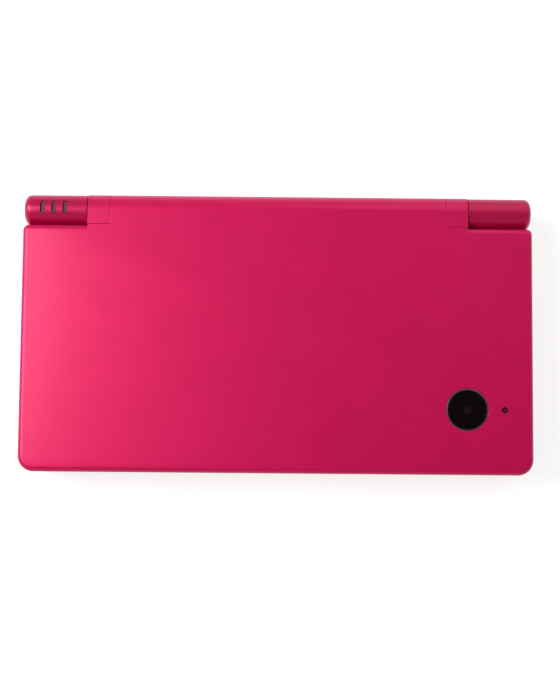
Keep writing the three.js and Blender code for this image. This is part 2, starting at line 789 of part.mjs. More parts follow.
// The cross of the direction pad, grown by a margin all round.
function crossBody(margin, z0, z1) {
  const span = padSpan + 2 * margin;
  const arm = padArm + 2 * margin;
  const box = (width, depth) => ({
    x0: padX - width / 2,
    x1: padX + width / 2,
    y0: clusterY - depth / 2,
    y1: clusterY + depth / 2,
    front: padCornerRadius,
    rear: padCornerRadius,
  });
  const heights = levels(z0, z1, 0, margin > 0 ? 0 : buttonEdge);
  return stack(box(span, arm), heights).add(stack(box(arm, span), heights));
}

function directionPad() {
  const low = deckUnderZ - padHeight;
  const dish = upright(padDishRadius, padX, clusterY, low, low + padDishHeight);
  return crossBody(0, low, deckZ + buttonProud).add(dish);
}

function pushButton(x, y, radius, proud) {
  const top = deckZ + proud;
  return turned([
    [0, flangeZ],
    [radius + buttonFlange, flangeZ],
    [radius + buttonFlange, flangeTopZ],
    [radius, flangeTopZ],
    [radius, top - buttonEdge],
    [radius - buttonEdge, top],
    [0, top],
  ], x, y, 0);
}

function buttonMembrane() {
  const reach = clusterRadius + membraneMargin;
  const front = selectButtonY - membraneMargin;
  const left = smallButtonX - membraneMargin;
  const main = block(left, clusterX + reach, clusterY - reach, clusterY + reach,
    boardTopZ, membraneTopZ);
  const strip = block(left, smallButtonX + membraneMargin, front, clusterY, boardTopZ, membraneTopZ);
  return main.add(strip);
}

function mainBoard() {
  const plate = block(-boardHalfWidth, boardHalfWidth, boardFrontY, boardRearY, boardZ, boardTopZ);
  const earInner = triggerInnerX + triggerEarRadius + partGap;
  const earRear = triggerSwitchRearY - triggerSwitchOverhang;
  const right = block(earInner, boardHalfWidth, boardRearY - partGap, earRear, boardZ, boardTopZ);
  const ears = [right, right.mirror([1, 0, 0])];
  const slotHalf = cardSlotSide + partGap;
  const low = boardZ - cutOverrun;
  const high = boardTopZ + cutOverrun;
  const bossReach = caseBossRadius + partGap;
  const cuts = [
    slab(batteryX, batteryY, batteryWidth + 2 * partGap, batteryDepth + 2 * partGap, low, high),
    block(-slotHalf, slotHalf, cardSlotFrontY, boardRearY + cutOverrun, low, high),
    block(jackX - jackWidth / 2 - partGap, jackX + jackWidth / 2 + partGap,
      frontY, jackRearY + partGap, low, high),
  ];
  for (const side of [-1, 1]) {
    const inner = side * (caseScrewFrontX - bossReach);
    const outer = side * halfWidth;
    const rear = caseScrewFrontY + bossReach;
    cuts.push(block(Math.min(inner, outer), Math.max(inner, outer), frontY, rear, low, high));
  }
  return carve(unite([plate, ...ears]), cuts);
}

function gameCardSlot() {
  const half = cardSlotWidth / 2;
  const rear = baseRearY - baseWall - partGap;
  const top = cardSlotZ + cardSlotHeight;
  const roof = block(-half - cardSlotWall, half + cardSlotWall, cardSlotFrontY + partGap, rear,
    top, top + cardSlotRoof);
  const walls = [-1, 1].map((side) => {
    const inner = side * half;
    const outer = side * (half + cardSlotWall);
    return block(Math.min(inner, outer), Math.max(inner, outer), cardSlotFrontY, rear,
      cardSlotZ, top + cardSlotRoof);
  });
  const contactTop = boardZ - cardContactDrop;
  const contactFront = cardSlotFrontY - cardContactDepth;
  const contacts = block(-half - cardSlotWall, half + cardSlotWall, contactFront, cardSlotFrontY + partGap,
    cardSlotZ, contactTop);
  const pins = [];
  const pitch = cardSlotWidth / (cardPinCount + 1);
  for (let pin = 1; pin <= cardPinCount; pin += 1) {
    const x = -half + pin * pitch;
    const low = cardSlotZ + cardSlotRoof;
    pins.push(slab(x, cardSlotFrontY, cardPinWidth, cardPinDepth, low, low + cardSlotRoof));
  }
  return unite([contacts, roof, ...walls, ...pins]);
}

function memoryCardSocket() {
  const inner = halfWidth - baseWall - partGap - memorySocketDepth;
  const outer = halfWidth - baseWall - partGap;
  const half = memorySocketWidth / 2;
  const body = block(inner, outer, memorySocketY - half, memorySocketY + half, memorySocketZ, boardZ);
  const wall = (memorySocketHeight - memoryCardHeight) / 2;
  const slot = block(inner + 2 * wall, outer + cutOverrun, memorySocketY - memoryCardWidth / 2,
    memorySocketY + memoryCardWidth / 2, memorySocketZ + wall, boardZ - wall);
  return body.subtract(slot);
}

// The door's end at its pivot is round, so that it turns inside its own circle.
function memoryCardDoor() {
  const half = memorySocketWidth / 2;
  const inner = halfWidth - memoryDoorThickness;
  const middleZ = memorySocketZ + memorySocketHeight / 2;
  const low = middleZ - memoryDoorHeight / 2;
  const high = middleZ + memoryDoorHeight / 2;
  const plate = block(inner, halfWidth, memorySocketY - half, memorySocketY + half, low, high);
  const pivot = upright(memoryDoorThickness / 2, halfWidth - memoryDoorThickness / 2,
    memorySocketY + half, low, high, smallSides);
  return plate.add(pivot);
}

function chargePort() {
  const rear = baseRearY - baseWall - partGap;
  const middleZ = portZ + memorySocketHeight / 2;
  const wall = (memorySocketHeight - portMouthHeight) / 2;
  const body = slab(portX, rear - portDepth / 2, portWidth, portDepth, portZ, boardZ);
  const mouth = slab(portX, rear - portDepth / 2 + wall, portMouthWidth, portDepth,
    middleZ - portMouthHeight / 2, middleZ + portMouthHeight / 2);
  const tongue = slab(portX, rear - portDepth / 2 - wall / 2, portTongueWidth, portDepth - wall,
    middleZ - portTongueHeight / 2, middleZ + portTongueHeight / 2);
  return body.subtract(mouth).add(tongue);
}

function headphoneJack() {
  const front = frontY + baseWall + partGap;
  const low = floorZ + partGap;
  const middleZ = low + jackHeight / 2;
  const body = block(jackX - jackWidth / 2, jackX + jackWidth / 2, front, jackRearY, low, low + jackHeight);
  const collar = rodAlongY(jackCollarRadius, frontY, front + partGap, jackX, middleZ, smallSides);
  const bore = rodAlongY(jackBoreRadius, frontY - cutOverrun, jackRearY - cutOverrun,
    jackX, middleZ, smallSides);
  return body.add(collar).subtract(bore);
}

function lightGuide() {
  const bar = block(lightXs[0] - lightWidth, lightXs[2] + lightWidth,
    -lightGuideHalfDepth, lightGuideHalfDepth, -lightGuideHalfHeight, lightGuideHalfHeight);
  const placed = bar.rotate([-lightTilt, 0, 0]).translate([0, hingeY, hingeZ]);
  const prongs = lightXs.map((x) => lightBody(x, -partGap, 0, barrelRadius - lightInset));
  return unite([placed, ...prongs]);
}

function stylusTube() {
  const mouth = halfWidth - frontCornerRadius;
  const end = halfWidth - stylusLength - tubeEndGap;
  const tube = rodAlongX(tubeRadius, end - tubeThickness, mouth, stylusY, stylusZ);
  return tube.subtract(rodAlongX(stylusRadius + partGap, end, mouth + cutOverrun, stylusY, stylusZ));
}

function stylus() {
  const tip = halfWidth - stylusLength;
  return turnedAlongX([
    [0, tip],
    [stylusTipRadius, tip],
    [stylusRadius, tip + stylusTipLength],
    [stylusRadius, halfWidth - stylusHeadLength],
    [stylusHeadRadius, halfWidth - stylusHeadLength + buttonEdge],
    [stylusHeadRadius, halfWidth - 2 * buttonEdge],
    [stylusRadius, halfWidth - buttonEdge],
    [stylusRadius - buttonEdge, halfWidth],
    [0, halfWidth],
  ], stylusY, stylusZ, smallSides);
}

function clickUnit() {
  const bodyRadius = barrelBoreRadius - partGap;
  const pinRadius = knuckleBoreRadius - partGap;
  const end = barrelInnerX + clickUnitLength;
  const body = rodAlongX(bodyRadius, barrelInnerX + partGap, end, hingeY, hingeZ);
  return body.add(rodAlongX(pinRadius, knuckleInnerX, barrelInnerX + 2 * partGap, hingeY, hingeZ));
}

function hingeBush() {
  const flange = rodAlongX(barrelBoreRadius - partGap, -barrelInnerX - bushLength,
    -barrelInnerX - partGap, hingeY, hingeZ);
  const sleeve = rodAlongX(knuckleBoreRadius - partGap, -barrelInnerX - 2 * partGap,
    -knuckleInnerX, hingeY, hingeZ);
  const bore = rodAlongX(flexRadius + partGap, -halfWidth, 0, hingeY, hingeZ, smallSides);
  return flange.add(sleeve).subtract(bore);
}

function displayFlex() {
  const start = -barrelInnerX - bushLength;
  return rodAlongX(flexRadius, start, -knuckleInnerX + flexReach, hingeY, hingeZ, smallSides);
}

function volumeRocker() {
  const inner = -halfWidth + rockerThickness;
  const plate = block(-halfWidth, inner, rockerY - rockerLength / 2, rockerY + rockerLength / 2,
    rockerZ - rockerHeight / 2, rockerZ + rockerHeight / 2);
  const dip = upright(rockerLength, -halfWidth - rockerLength + rockerPlay, rockerY,
    rockerZ - rockerHeight, rockerZ + rockerHeight);
  return plate.subtract(dip);
}

function volumeSwitch() {
  const outer = -halfWidth + rockerThickness + rockerPlay;
  return block(outer, outer + volumeSwitchDepth, rockerY - rockerLength / 2 + cutOverrun,
    rockerY + rockerLength / 2 - cutOverrun, rockerZ - rockerHeight / 2, boardZ);
}

// A trigger follows the case's outline round the rear corner and turns on an upright pin.
function trigger(side) {
  const space = block(triggerInnerX, halfWidth + cutOverrun, baseRearY - triggerSideLength, rearY,
    triggerBottomZ, triggerTopZ);
  const outside = straight(baseBox, 0, triggerBottomZ, triggerTopZ);
  const innerLow = triggerBottomZ - cutOverrun;
  const inside = straight(baseBox, triggerThickness, innerLow, triggerTopZ + cutOverrun);
  const wall = outside.subtract(inside).intersect(space);
  const low = triggerBottomZ + cutOverrun;
  const high = boardTopZ;
  const ear = upright(triggerEarRadius, triggerInnerX, triggerPivotY, low, high, smallSides);
  const web = block(triggerInnerX, triggerInnerX + triggerEarRadius, triggerPivotY,
    baseRearY - cutOverrun, low, high);
  const arm = slab(triggerArmX, (triggerArmY + baseRearY - cutOverrun) / 2, triggerArmWidth,
    baseRearY - cutOverrun - triggerArmY, boardTopZ + partGap, boardTopZ + triggerSwitchHeight - partGap);
  const hole = upright(triggerPinRadius + partGap, triggerInnerX, triggerPivotY,
    low - cutOverrun, high + cutOverrun, smallSides);
  const piece = unite([wall, ear, web, arm]).subtract(hole);
  return side > 0 ? piece : piece.mirror([1, 0, 0]);
}

function triggerSwitch(side) {
  const y = triggerSwitchRearY - triggerSwitchDepth / 2;
  return slab(side * triggerArmX, y, triggerSwitchWidth, triggerSwitchDepth, boardTopZ,
    boardTopZ + triggerSwitchHeight);
}

// Both halves of the lid come from one closed body: the slab, and the barrel along its rear edge.
function lidBody() {
  const main = stack(lidBox, levels(lidZ, consoleHeight, rimEdgeRadius, lidEdgeRadius));
  const round = rodAlongX(hingeRadius, -knuckleOuterX, knuckleOuterX, hingeY, hingeZ);
  const bridgeFront = lidRearY - 2 * lidEdgeRadius;
  const bridge = block(-knuckleOuterX, knuckleOuterX, bridgeFront, hingeY,
    lidZ + rimEdgeRadius, consoleHeight);
  return unite([main, round, bridge]);
}

function lidHollow() {
  const main = straight(lidBox, lidWall, lidFaceTopZ, lidRoofZ);
  const end = knuckleInnerX - seamGap - hingeBarrelWall;
  const round = rodAlongX(hingeRadius - hingeBarrelWall, -end, end, hingeY, hingeZ);
  const bridge = block(-end, end, lidRearY - 2 * lidWall, hingeY, lidFaceTopZ, lidRoofZ);
  return unite([main, round, bridge]);
}

// The room that a knuckle takes out of the cover, or the knuckle itself.
function knuckleZone(side, margin) {
  const inner = side * (knuckleInnerX - margin);
  const outer = side * (knuckleOuterX + margin);
  const low = hingeZ - hingeRadius - cutOverrun;
  return block(Math.min(inner, outer), Math.max(inner, outer), lidRearY + partGap - margin,
    rearY + cutOverrun, low, consoleHeight + cutOverrun);
}

function outerCover() {
  const above = block(-consoleWidth, consoleWidth, -consoleDepth, consoleDepth, coverZ, 2 * consoleHeight);
  const cover = lidBody().subtract(lidHollow()).intersect(above);
  return carve(cover, [
    knuckleZone(-1, seamGap),
    knuckleZone(1, seamGap),
    rodAlongX(knuckleBoreRadius, -halfWidth, halfWidth, hingeY, hingeZ),
    upright(cameraRadius + partGap, cameraX, cameraY, coverZ, consoleHeight + cutOverrun),
    upright(indicatorRadius, indicatorX, cameraY, coverZ, consoleHeight + cutOverrun, smallSides),
  ]);
}

function speakerHoles(side) {
  const low = lidFaceZ - cutOverrun;
  const high = lidFaceTopZ + cutOverrun;
  const drilled = (x, y) => upright(speakerHoleRadius, x, y, low, high, smallSides / 2);
  const holes = [drilled(side * speakerX, speakerY)];
  for (let hole = 0; hole < speakerHoleCount; hole += 1) {
    const angle = (hole / speakerHoleCount) * 2 * Math.PI;
    const x = side * speakerX + speakerHoleCircle * Math.cos(angle);
    holes.push(drilled(x, speakerY + speakerHoleCircle * Math.sin(angle)));
  }
  return holes;
}

function innerFrame() {
  const below = block(-consoleWidth, consoleWidth, -consoleDepth, consoleDepth, 0, frameTopZ);
  const shell = lidBody().subtract(lidHollow());
  const knuckles = [-1, 1].map((side) => lidBody().intersect(knuckleZone(side, 0)));
  const frame = unite([shell.intersect(below), ...knuckles]);
  const lensTop = lidFaceZ + lensThickness;
  const barrelLow = hingeZ - hingeRadius - cutOverrun;
  const cuts = [
    straight(deckBox, lidRimWidth, lidZ - cutOverrun, lidFaceZ),
    slab(0, screenY, lensWidth + 2 * partGap, lensDepth + 2 * partGap, lidFaceZ - cutOverrun, lensTop),
    slab(0, screenY, displayWidth - partGap, displayDepth - partGap, lidFaceZ, lidFaceTopZ + cutOverrun),
    rodAlongX(knuckleBoreRadius, -halfWidth, halfWidth, hingeY, hingeZ),
    upright(innerCameraRadius + partGap, innerCameraX, hingeY, barrelLow, hingeZ, smallSides),
    upright(microphoneHoleRadius, microphoneX, hingeY, barrelLow, hingeZ, smallSides / 2),
    ...speakerHoles(-1),
    ...speakerHoles(1),
  ];
  return carve(frame, cuts);
}

function cameraRing() {
  const top = consoleHeight - cameraInset;
  const seat = top - cameraWindowThickness;
  const ring = upright(cameraRadius, cameraX, cameraY, top - cameraRingHeight, top);
  const recess = upright(cameraWindowRadius + partGap / 2, cameraX, cameraY, seat, top + cutOverrun);
  const low = top - cameraRingHeight - cutOverrun;
  const hole = upright(cameraWindowRadius - cameraRingSeat, cameraX, cameraY, low, top);
  return carve(ring, [recess, hole]);
}

function cameraWindow() {
  const top = consoleHeight - cameraInset;
  return upright(cameraWindowRadius, cameraX, cameraY, top - cameraWindowThickness, top);
}

function cameraModule() {
  const top = consoleHeight - cameraInset - cameraRingHeight;
  const body = slab(cameraX, cameraY, cameraModuleWidth, cameraModuleWidth, top - cameraModuleHeight, top);
  const lensTop = top + cameraRingHeight - cameraWindowThickness - partGap;
  const barrel = upright(cameraLensRadius, cameraX, cameraY, top - partGap, lensTop);
  return body.add(barrel);
}

function indicatorGuide() {
  const low = lidRoofZ - indicatorFlangeHeight;
  const top = consoleHeight - indicatorInset;
  const pin = upright(indicatorGuideRadius, indicatorX, cameraY, low, top, smallSides);
  const flange = upright(indicatorFlangeRadius, indicatorX, cameraY, low, lidRoofZ, smallSides);
  return pin.add(flange);
}

function speaker(side) {
  const x = side * speakerX;
  const top = lidFaceTopZ + speakerHeight;
  const step = upright(speakerRadius - speakerStep, x, speakerY, lidFaceTopZ, top);
  const rim = upright(speakerRadius, x, speakerY, lidFaceTopZ, lidFaceTopZ + speakerHeight / 2);
  return step.add(rim);
}

function innerCamera() {
  const low = hingeZ - hingeRadius + 2 * partGap;
  const body = upright(innerCameraRadius, innerCameraX, hingeY, low, low + innerCameraHeight, smallSides);
  const eyeTop = low + indicatorInset;
  const eye = upright(innerCameraRadius / 2, innerCameraX, hingeY, low - cutOverrun, eyeTop, smallSides);
  return body.subtract(eye);
}

function microphone() {
  const low = hingeZ - hingeRadius + hingeBarrelWall + 2 * partGap;
  return upright(microphoneRadius, microphoneX, hingeY, low, low + microphoneHeight, smallSides);
}

function buildBaseShells() {
  add('base_lower_shell', lowerShell(), shellFinish);
  add('base_upper_shell', upperShell(), deckFinish);
  add('battery_cover', batteryCover(), shellFinish);
  for (const [place, x, y] of caseScrewPlaces) {
    add(`case_screw_${place}`, screw(x, y, caseScrewZ, screwHeadHeight, caseScrewLength), metalFinish);
  }
  ['left', 'right'].forEach((place, at) => {
    const z = bottomZ + coverScrewHeadHeight;
    const fastener = screw(coverScrewXs[at], batteryY, z, coverScrewHeadHeight, coverScrewLength);
    add(`cover_screw_${place}`, fastener, metalFinish);
  });
  const footX = halfWidth - footInsetX;
  const footYs = { front: frontY + footInsetY, rear: baseRearY - footRearInsetY };
  for (const [place, y] of Object.entries(footYs)) {
    add(`foot_${place}_left`, upright(footRadius, -footX, y, 0, bottomZ), footFinish);
    add(`foot_${place}_right`, upright(footRadius, footX, y, 0, bottomZ), footFinish);
  }
}

function buildInsideOfBase() {
  const batteryTopZ = batteryZ + batteryHeight;
  const cell = slab(batteryX, batteryY, batteryWidth, batteryDepth, batteryZ, batteryTopZ);
  add('battery_pack', cell, batteryFinish);
  add('main_board', mainBoard(), boardFinish);
  const wirelessTopZ = batteryZ + wirelessHeight;
  const radio = slab(wirelessX, wirelessY, wirelessWidth, wirelessDepth, batteryZ, wirelessTopZ);
  add('wireless_board', radio, metalFinish);
  add('game_card_slot', gameCardSlot(), blackFinish);
  add('memory_card_socket', memoryCardSocket(), metalFinish);
  add('charge_port', chargePort(), metalFinish);
  add('headphone_jack', headphoneJack(), blackFinish);
  add('stylus_tube', stylusTube(), greyFinish);
  add('status_light_guide', lightGuide(), clearFinish);
  add('volume_switch', volumeSwitch(), blackFinish);
  add('trigger_switch_left', triggerSwitch(-1), blackFinish);
  add('trigger_switch_right', triggerSwitch(1), blackFinish);
  add('button_membrane', buttonMembrane(), padFinish);
}

function buildLowerScreen() {
  const panelWidth = screenWidth + 2 * touchPanelMargin;
  const panelDepth = screenDepth + 2 * touchPanelMargin;
  const display = slab(0, screenY, displayWidth, displayDepth, deckUnderZ - displayThickness, deckUnderZ);
  add('lower_display', display, displayFinish);
  const panelTopZ = deckUnderZ + touchPanelThickness;
  add('touch_panel', slab(0, screenY, panelWidth, panelDepth, deckUnderZ, panelTopZ), glassFinish);
}

function buildControls() {
  for (const [name, x, y] of faceButtonPlaces) {
    add(name, pushButton(x, y, buttonRadius, buttonProud), controlFinish);
  }
  for (const [name, x, y, radius] of smallButtonPlaces) {
    add(name, pushButton(x, y, radius, smallButtonProud), controlFinish);
  }
  const rubberTop = deckUnderZ - padHeight - padRubberGap;
  const rubber = upright(padRubberRadius, padX, clusterY, rubberTop - padRubberHeight, rubberTop);
  add('pad_rubber', rubber, padFinish);
  add('direction_pad', directionPad(), controlFinish);
  add('volume_rocker', volumeRocker(), controlFinish);
  add('left_trigger', trigger(-1), controlFinish);
  add('right_trigger', trigger(1), controlFinish);
  add('stylus', stylus(), controlFinish);
  add('memory_card_door', memoryCardDoor(), shellFinish);
}

function buildHinge() {
  add('hinge_click_unit', clickUnit(), metalFinish);
  add('hinge_bush', hingeBush(), greyFinish);
  add('display_flex', displayFlex(), flexFinish);
}

function buildLid() {
  add('lid_outer_cover', outerCover(), shellFinish);
  add('lid_inner_frame', innerFrame(), shellFinish);
  const lensTop = lidFaceZ + lensThickness;
  add('upper_display_lens', slab(0, screenY, lensWidth, lensDepth, lidFaceZ, lensTop), glassFinish);
  const displayTopZ = lidFaceTopZ + displayThickness;
  const display = slab(0, screenY, displayWidth, displayDepth, lidFaceTopZ, displayTopZ);
  add('upper_display', display, displayFinish);
  add('speaker_left', speaker(-1), blackFinish);
  add('speaker_right', speaker(1), blackFinish);
  add('outer_camera_ring', cameraRing(), displayFinish);
  add('outer_camera_window', cameraWindow(), glassFinish);
  add('outer_camera_module', cameraModule(), blackFinish);
  add('indicator_light_guide', indicatorGuide(), clearFinish);
  add('inner_camera', innerCamera(), displayFinish);
  add('microphone', microphone(), metalFinish);
}

buildBaseShells();
buildInsideOfBase();
buildLowerScreen();
buildControls();
buildHinge();
buildLid();

export default object;
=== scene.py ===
"""A closed clamshell handheld game console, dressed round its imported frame."""
import json
import math

import bmesh
import bpy
from mathutils import Matrix, Vector

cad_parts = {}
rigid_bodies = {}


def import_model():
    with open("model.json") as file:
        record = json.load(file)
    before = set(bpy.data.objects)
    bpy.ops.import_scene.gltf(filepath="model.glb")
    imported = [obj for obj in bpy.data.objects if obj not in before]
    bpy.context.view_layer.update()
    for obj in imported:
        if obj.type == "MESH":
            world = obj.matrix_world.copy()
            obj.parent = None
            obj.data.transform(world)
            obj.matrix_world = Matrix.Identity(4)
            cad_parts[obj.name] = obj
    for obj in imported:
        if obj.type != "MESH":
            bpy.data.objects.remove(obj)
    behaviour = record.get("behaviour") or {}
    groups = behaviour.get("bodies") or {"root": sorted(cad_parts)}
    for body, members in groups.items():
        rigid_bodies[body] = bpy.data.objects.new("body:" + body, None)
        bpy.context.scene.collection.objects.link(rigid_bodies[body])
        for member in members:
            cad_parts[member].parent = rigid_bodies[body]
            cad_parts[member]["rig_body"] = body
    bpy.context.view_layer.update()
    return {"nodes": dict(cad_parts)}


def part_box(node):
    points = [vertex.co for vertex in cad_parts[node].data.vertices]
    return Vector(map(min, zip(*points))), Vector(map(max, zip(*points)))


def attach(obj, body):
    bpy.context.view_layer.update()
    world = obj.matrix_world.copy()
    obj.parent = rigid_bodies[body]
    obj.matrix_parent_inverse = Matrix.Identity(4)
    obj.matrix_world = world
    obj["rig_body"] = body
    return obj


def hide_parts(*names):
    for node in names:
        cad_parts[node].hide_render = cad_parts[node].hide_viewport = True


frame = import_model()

# Sizes are in millimetres; meshes are written in metres.
MM = 0.001
QUARTER = math.pi / 2


def box(node):
    low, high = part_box(node)
    return low / MM, high / MM


def centre(low, high):
    """The middle of a box, seen from above."""
    return (low.x + high.x) / 2, (low.y + high.y) / 2


def middle(node):
    low, high = box(node)
    return (low + high) / 2


# Places read from the frame
LOWER_LOW, LOWER_HIGH = box("base_lower_shell")
COVER_LOW, COVER_HIGH = box("lid_outer_cover")
DISPLAY_LOW, DISPLAY_HIGH = box("lower_display")
LENS_LOW, LENS_HIGH = box("upper_display_lens")
RING_LOW, RING_HIGH = box("outer_camera_ring")
WINDOW_LOW, WINDOW_HIGH = box("outer_camera_window")
STYLUS_LOW, STYLUS_HIGH = box("stylus")

HALF_WIDTH = LOWER_HIGH.x
FRONT_Y = LOWER_LOW.y
BASE_REAR_Y = LOWER_HIGH.y
REAR_Y = COVER_HIGH.y
BOTTOM_Z = LOWER_LOW.z
TOP_Z = COVER_HIGH.z

# Clearances
PART_GAP = 0.3
FINE_GAP = PART_GAP / 3
SEAM_GAP = 0.25
OVERRUN = 1.0

# Shells
FLOOR = 1.3
WALL = 1.5
DECK = 1.5
DECK_RECESS = 0.8
RIM_WIDTH = 2.3
LOWER_HEIGHT = 6.25
FRONT_CORNER = 4.2
BASE_REAR_CORNER = 3.0
LID_REAR_CORNER = 1.5
BASE_EDGE = 1.5
RIM_EDGE = 0.4
LID_EDGE = 1.4
LID_TOP = 1.4
LID_WALL = 1.5
REAR_LIP_DROP = 1.0
TROUGH_BACKING = 0.9
TROUGH_GAP = 0.7
BEZEL = 0.7

# Hinge
HINGE_RADIUS = 4.3
BARREL_RADIUS = 4.15
BARREL_LENGTH = 17.1
BARREL_DOME_LENGTH = 2.2
BARREL_DOME_DROP = 3.2
DOME_FULLNESS = 0.75
SADDLE_INSET = 0.3
BARREL_BORE = 3.15
BARREL_END_WALL = 2.6
KNUCKLE_LENGTH = 5.8
KNUCKLE_BORE = 2.3
HINGE_WALL = 1.2

HINGE_Y = REAR_Y - HINGE_RADIUS
HINGE_Z = TOP_Z - HINGE_RADIUS
LID_REAR_Y = HINGE_Y - BARREL_RADIUS - PART_GAP
FLOOR_Z = BOTTOM_Z + FLOOR
SEAM_Z = BOTTOM_Z + LOWER_HEIGHT
UPPER_Z = SEAM_Z + SEAM_GAP
DECK_UNDER_Z = DISPLAY_HIGH.z
DECK_Z = DECK_UNDER_Z + DECK
RIM_Z = DECK_Z + DECK_RECESS
BEZEL_Z = DECK_Z - BEZEL
LID_Z = RIM_Z + PART_GAP
LID_FACE_Z = LENS_LOW.z
LID_FACE_TOP_Z = box("upper_display")[0].z
LID_ROOF_Z = TOP_Z - LID_TOP
COVER_Z = COVER_LOW.z
FRAME_TOP_Z = COVER_Z - SEAM_GAP
TROUGH_RADIUS = HINGE_RADIUS + TROUGH_GAP
BARREL_INNER_X = HALF_WIDTH - BARREL_LENGTH
KNUCKLE_OUTER_X = BARREL_INNER_X - SEAM_GAP
KNUCKLE_INNER_X = KNUCKLE_OUTER_X - KNUCKLE_LENGTH
SCREEN_Y = (DISPLAY_LOW.y + DISPLAY_HIGH.y) / 2

# Status lights
LIGHT_WIDTH = 1.2
LIGHT_LENGTH = 3.45
LIGHT_PITCH = 3.02
LIGHT_FROM_END = 8.2
LIGHT_TILT = math.radians(4)
LIGHT_INSET = 0.5
LIGHT_BAR_HALF = (1.7, 1.1)
LIGHT_PLACE = Matrix.Translation(Vector((0, HINGE_Y, HINGE_Z)) * MM) @ Matrix.Rotation(-LIGHT_TILT, 4, "X")

# Smoothness
ROUND_SIDES = 96
BARREL_SIDES = 240
ROCKER_SIDES = 160
STYLUS_SIDES = 64
SMALL_SIDES = 40
HOLE_SIDES = 28
CORNER_STEPS = 16
EDGE_STEPS = 10
LEAST_ROUND = 0.3
FLAT_ANGLE = math.radians(0.05)
SHARP_ANGLE = math.radians(32)

# Fine rounds and their tests
EDGE_BEVEL = 0.1
SHELL_BEVEL = 0.09
MERGE_DISTANCE = 0.02
WELD_DISTANCE = 0.002
ROOM_SHARE = 2.5  # length that has to be free beside an edge, in widths of its round
CARRIED_ON = 0.9  # cosine from which a short edge counts as the same edge carried on
SOUND_SHARE = 0.0005  # of the area, by which faces that cross may change it
SAME_POINT = MM / 10000
BOX_SLACK = MM / 1000


def remove(body):
    mesh = body.data
    bpy.data.objects.remove(body)
    bpy.data.meshes.remove(mesh)


def linked(name, data):
    """A new object in the scene."""
    thing = bpy.data.objects.new(name, data)
    bpy.context.scene.collection.objects.link(thing)
    return thing


def solid(points, polygons):
    """A closed body from points in millimetres."""
    mesh = bpy.data.meshes.new("solid")
    mesh.from_pydata([Vector(point) * MM for point in points], [], polygons)
    shape = bmesh.new()
    shape.from_mesh(mesh)
    bmesh.ops.recalc_face_normals(shape, faces=shape.faces)
    shape.to_mesh(mesh)
    shape.free()
    return linked("solid", mesh)


def loft(rings):
    """A closed body through rings of as many points each."""
    count = len(rings[0])
    polygons = [list(range(count))[::-1]]
    for ring in range(len(rings) - 1):
        for at in range(count):
            a = ring * count + at
            b = ring * count + (at + 1) % count
            polygons.append([a, b, b + count, a + count])
    last = (len(rings) - 1) * count
    polygons.append(list(range(last, last + count)))
    return solid([point for ring in rings for point in ring], polygons)


def combine(body, others, operation):
    for other in others:
        step = body.modifiers.new(operation, "BOOLEAN")
        step.operation = operation
        step.solver = "MANIFOLD"
        step.object = other
    bpy.context.view_layer.update()
    shaped = body.evaluated_get(bpy.context.evaluated_depsgraph_get())
    mesh = bpy.data.meshes.new_from_object(shaped)
    before = body.data
    body.modifiers.clear()
    body.data = mesh
    bpy.data.meshes.remove(before)
    for other in others:
        remove(other)
    return body


def unite(bodies):
    return combine(bodies[0], bodies[1:], "UNION")


def carve(body, cuts):
    return combine(body, cuts, "DIFFERENCE")


def common(body, other):
    return combine(body, [other], "INTERSECT")


def place(body, matrix):
    body.data.transform(matrix)
    return body


def mirrored(body):
    """The body on the other side of the middle plane."""
    body.data.transform(Matrix.Diagonal((-1, 1, 1, 1)))
    body.data.flip_normals()
    return body


def rectangle(x0, x1, y0, y1, z):
    return [(x0, y0, z), (x1, y0, z), (x1, y1, z), (x0, y1, z)]


def block(x0, x1, y0, y1, z0, z1):
    return loft([rectangle(x0, x1, y0, y1, z) for z in (z0, z1)])


def slab(x, y, width, depth, z0, z1):
    return block(x - width / 2, x + width / 2, y - depth / 2, y + depth / 2, z0, z1)


def hole(node, gap, z0, z1):
    """An upright block round a piece, with a gap beside it."""
    low, high = box(node)
    return block(low.x - gap, high.x + gap, low.y - gap, high.y + gap, z0, z1)


def side_hole(node, x0, x1):
    """A block along X round a piece."""
    low, high = box(node)
    return block(x0, x1, low.y - PART_GAP, high.y + PART_GAP, low.z - PART_GAP, high.z + PART_GAP)


def plate(node):
    """A node's whole box."""
    low, high = box(node)
    return block(low.x, high.x, low.y, high.y, low.z, high.z)


def circle(radius, sides):
    turns = [2 * math.pi * (side + 0.5) / sides for side in range(sides)]
    return [(radius * math.cos(turn), radius * math.sin(turn)) for turn in turns]


def turned(profile, x, y, sides=ROUND_SIDES):
    """A turned body about an upright axis; the profile is a list of (radius, height)."""
    return loft([[(x + u, y + v, z) for u, v in circle(radius, sides)] for radius, z in profile])


def upright(radius, x, y, z0, z1, sides=SMALL_SIDES):
    return turned([(radius, z0), (radius, z1)], x, y, sides)


def rod_at(node, radius, z0, z1, sides=SMALL_SIDES):
    """An upright rod through a piece's middle."""
    at = middle(node)
    return upright(radius, at.x, at.y, z0, z1, sides)


def turned_along_x(profile, y, z, sides=ROUND_SIDES):
    return loft([[(x, y + u, z + v) for u, v in circle(radius, sides)] for radius, x in profile])


def rod_along_x(radius, x0, x1, y, z, sides=ROUND_SIDES):
    return turned_along_x([(radius, x0), (radius, x1)], y, z, sides)


def axle(radius, half_length, sides=ROUND_SIDES):
    """A rod on the hinge's axis."""
    return rod_along_x(radius, -half_length, half_length, HINGE_Y, HINGE_Z, sides)


def rod_along_y(radius, y0, y1, x, z, sides=SMALL_SIDES):
    return loft([[(x + u, y, z + v) for u, v in circle(radius, sides)] for y in (y0, y1)])


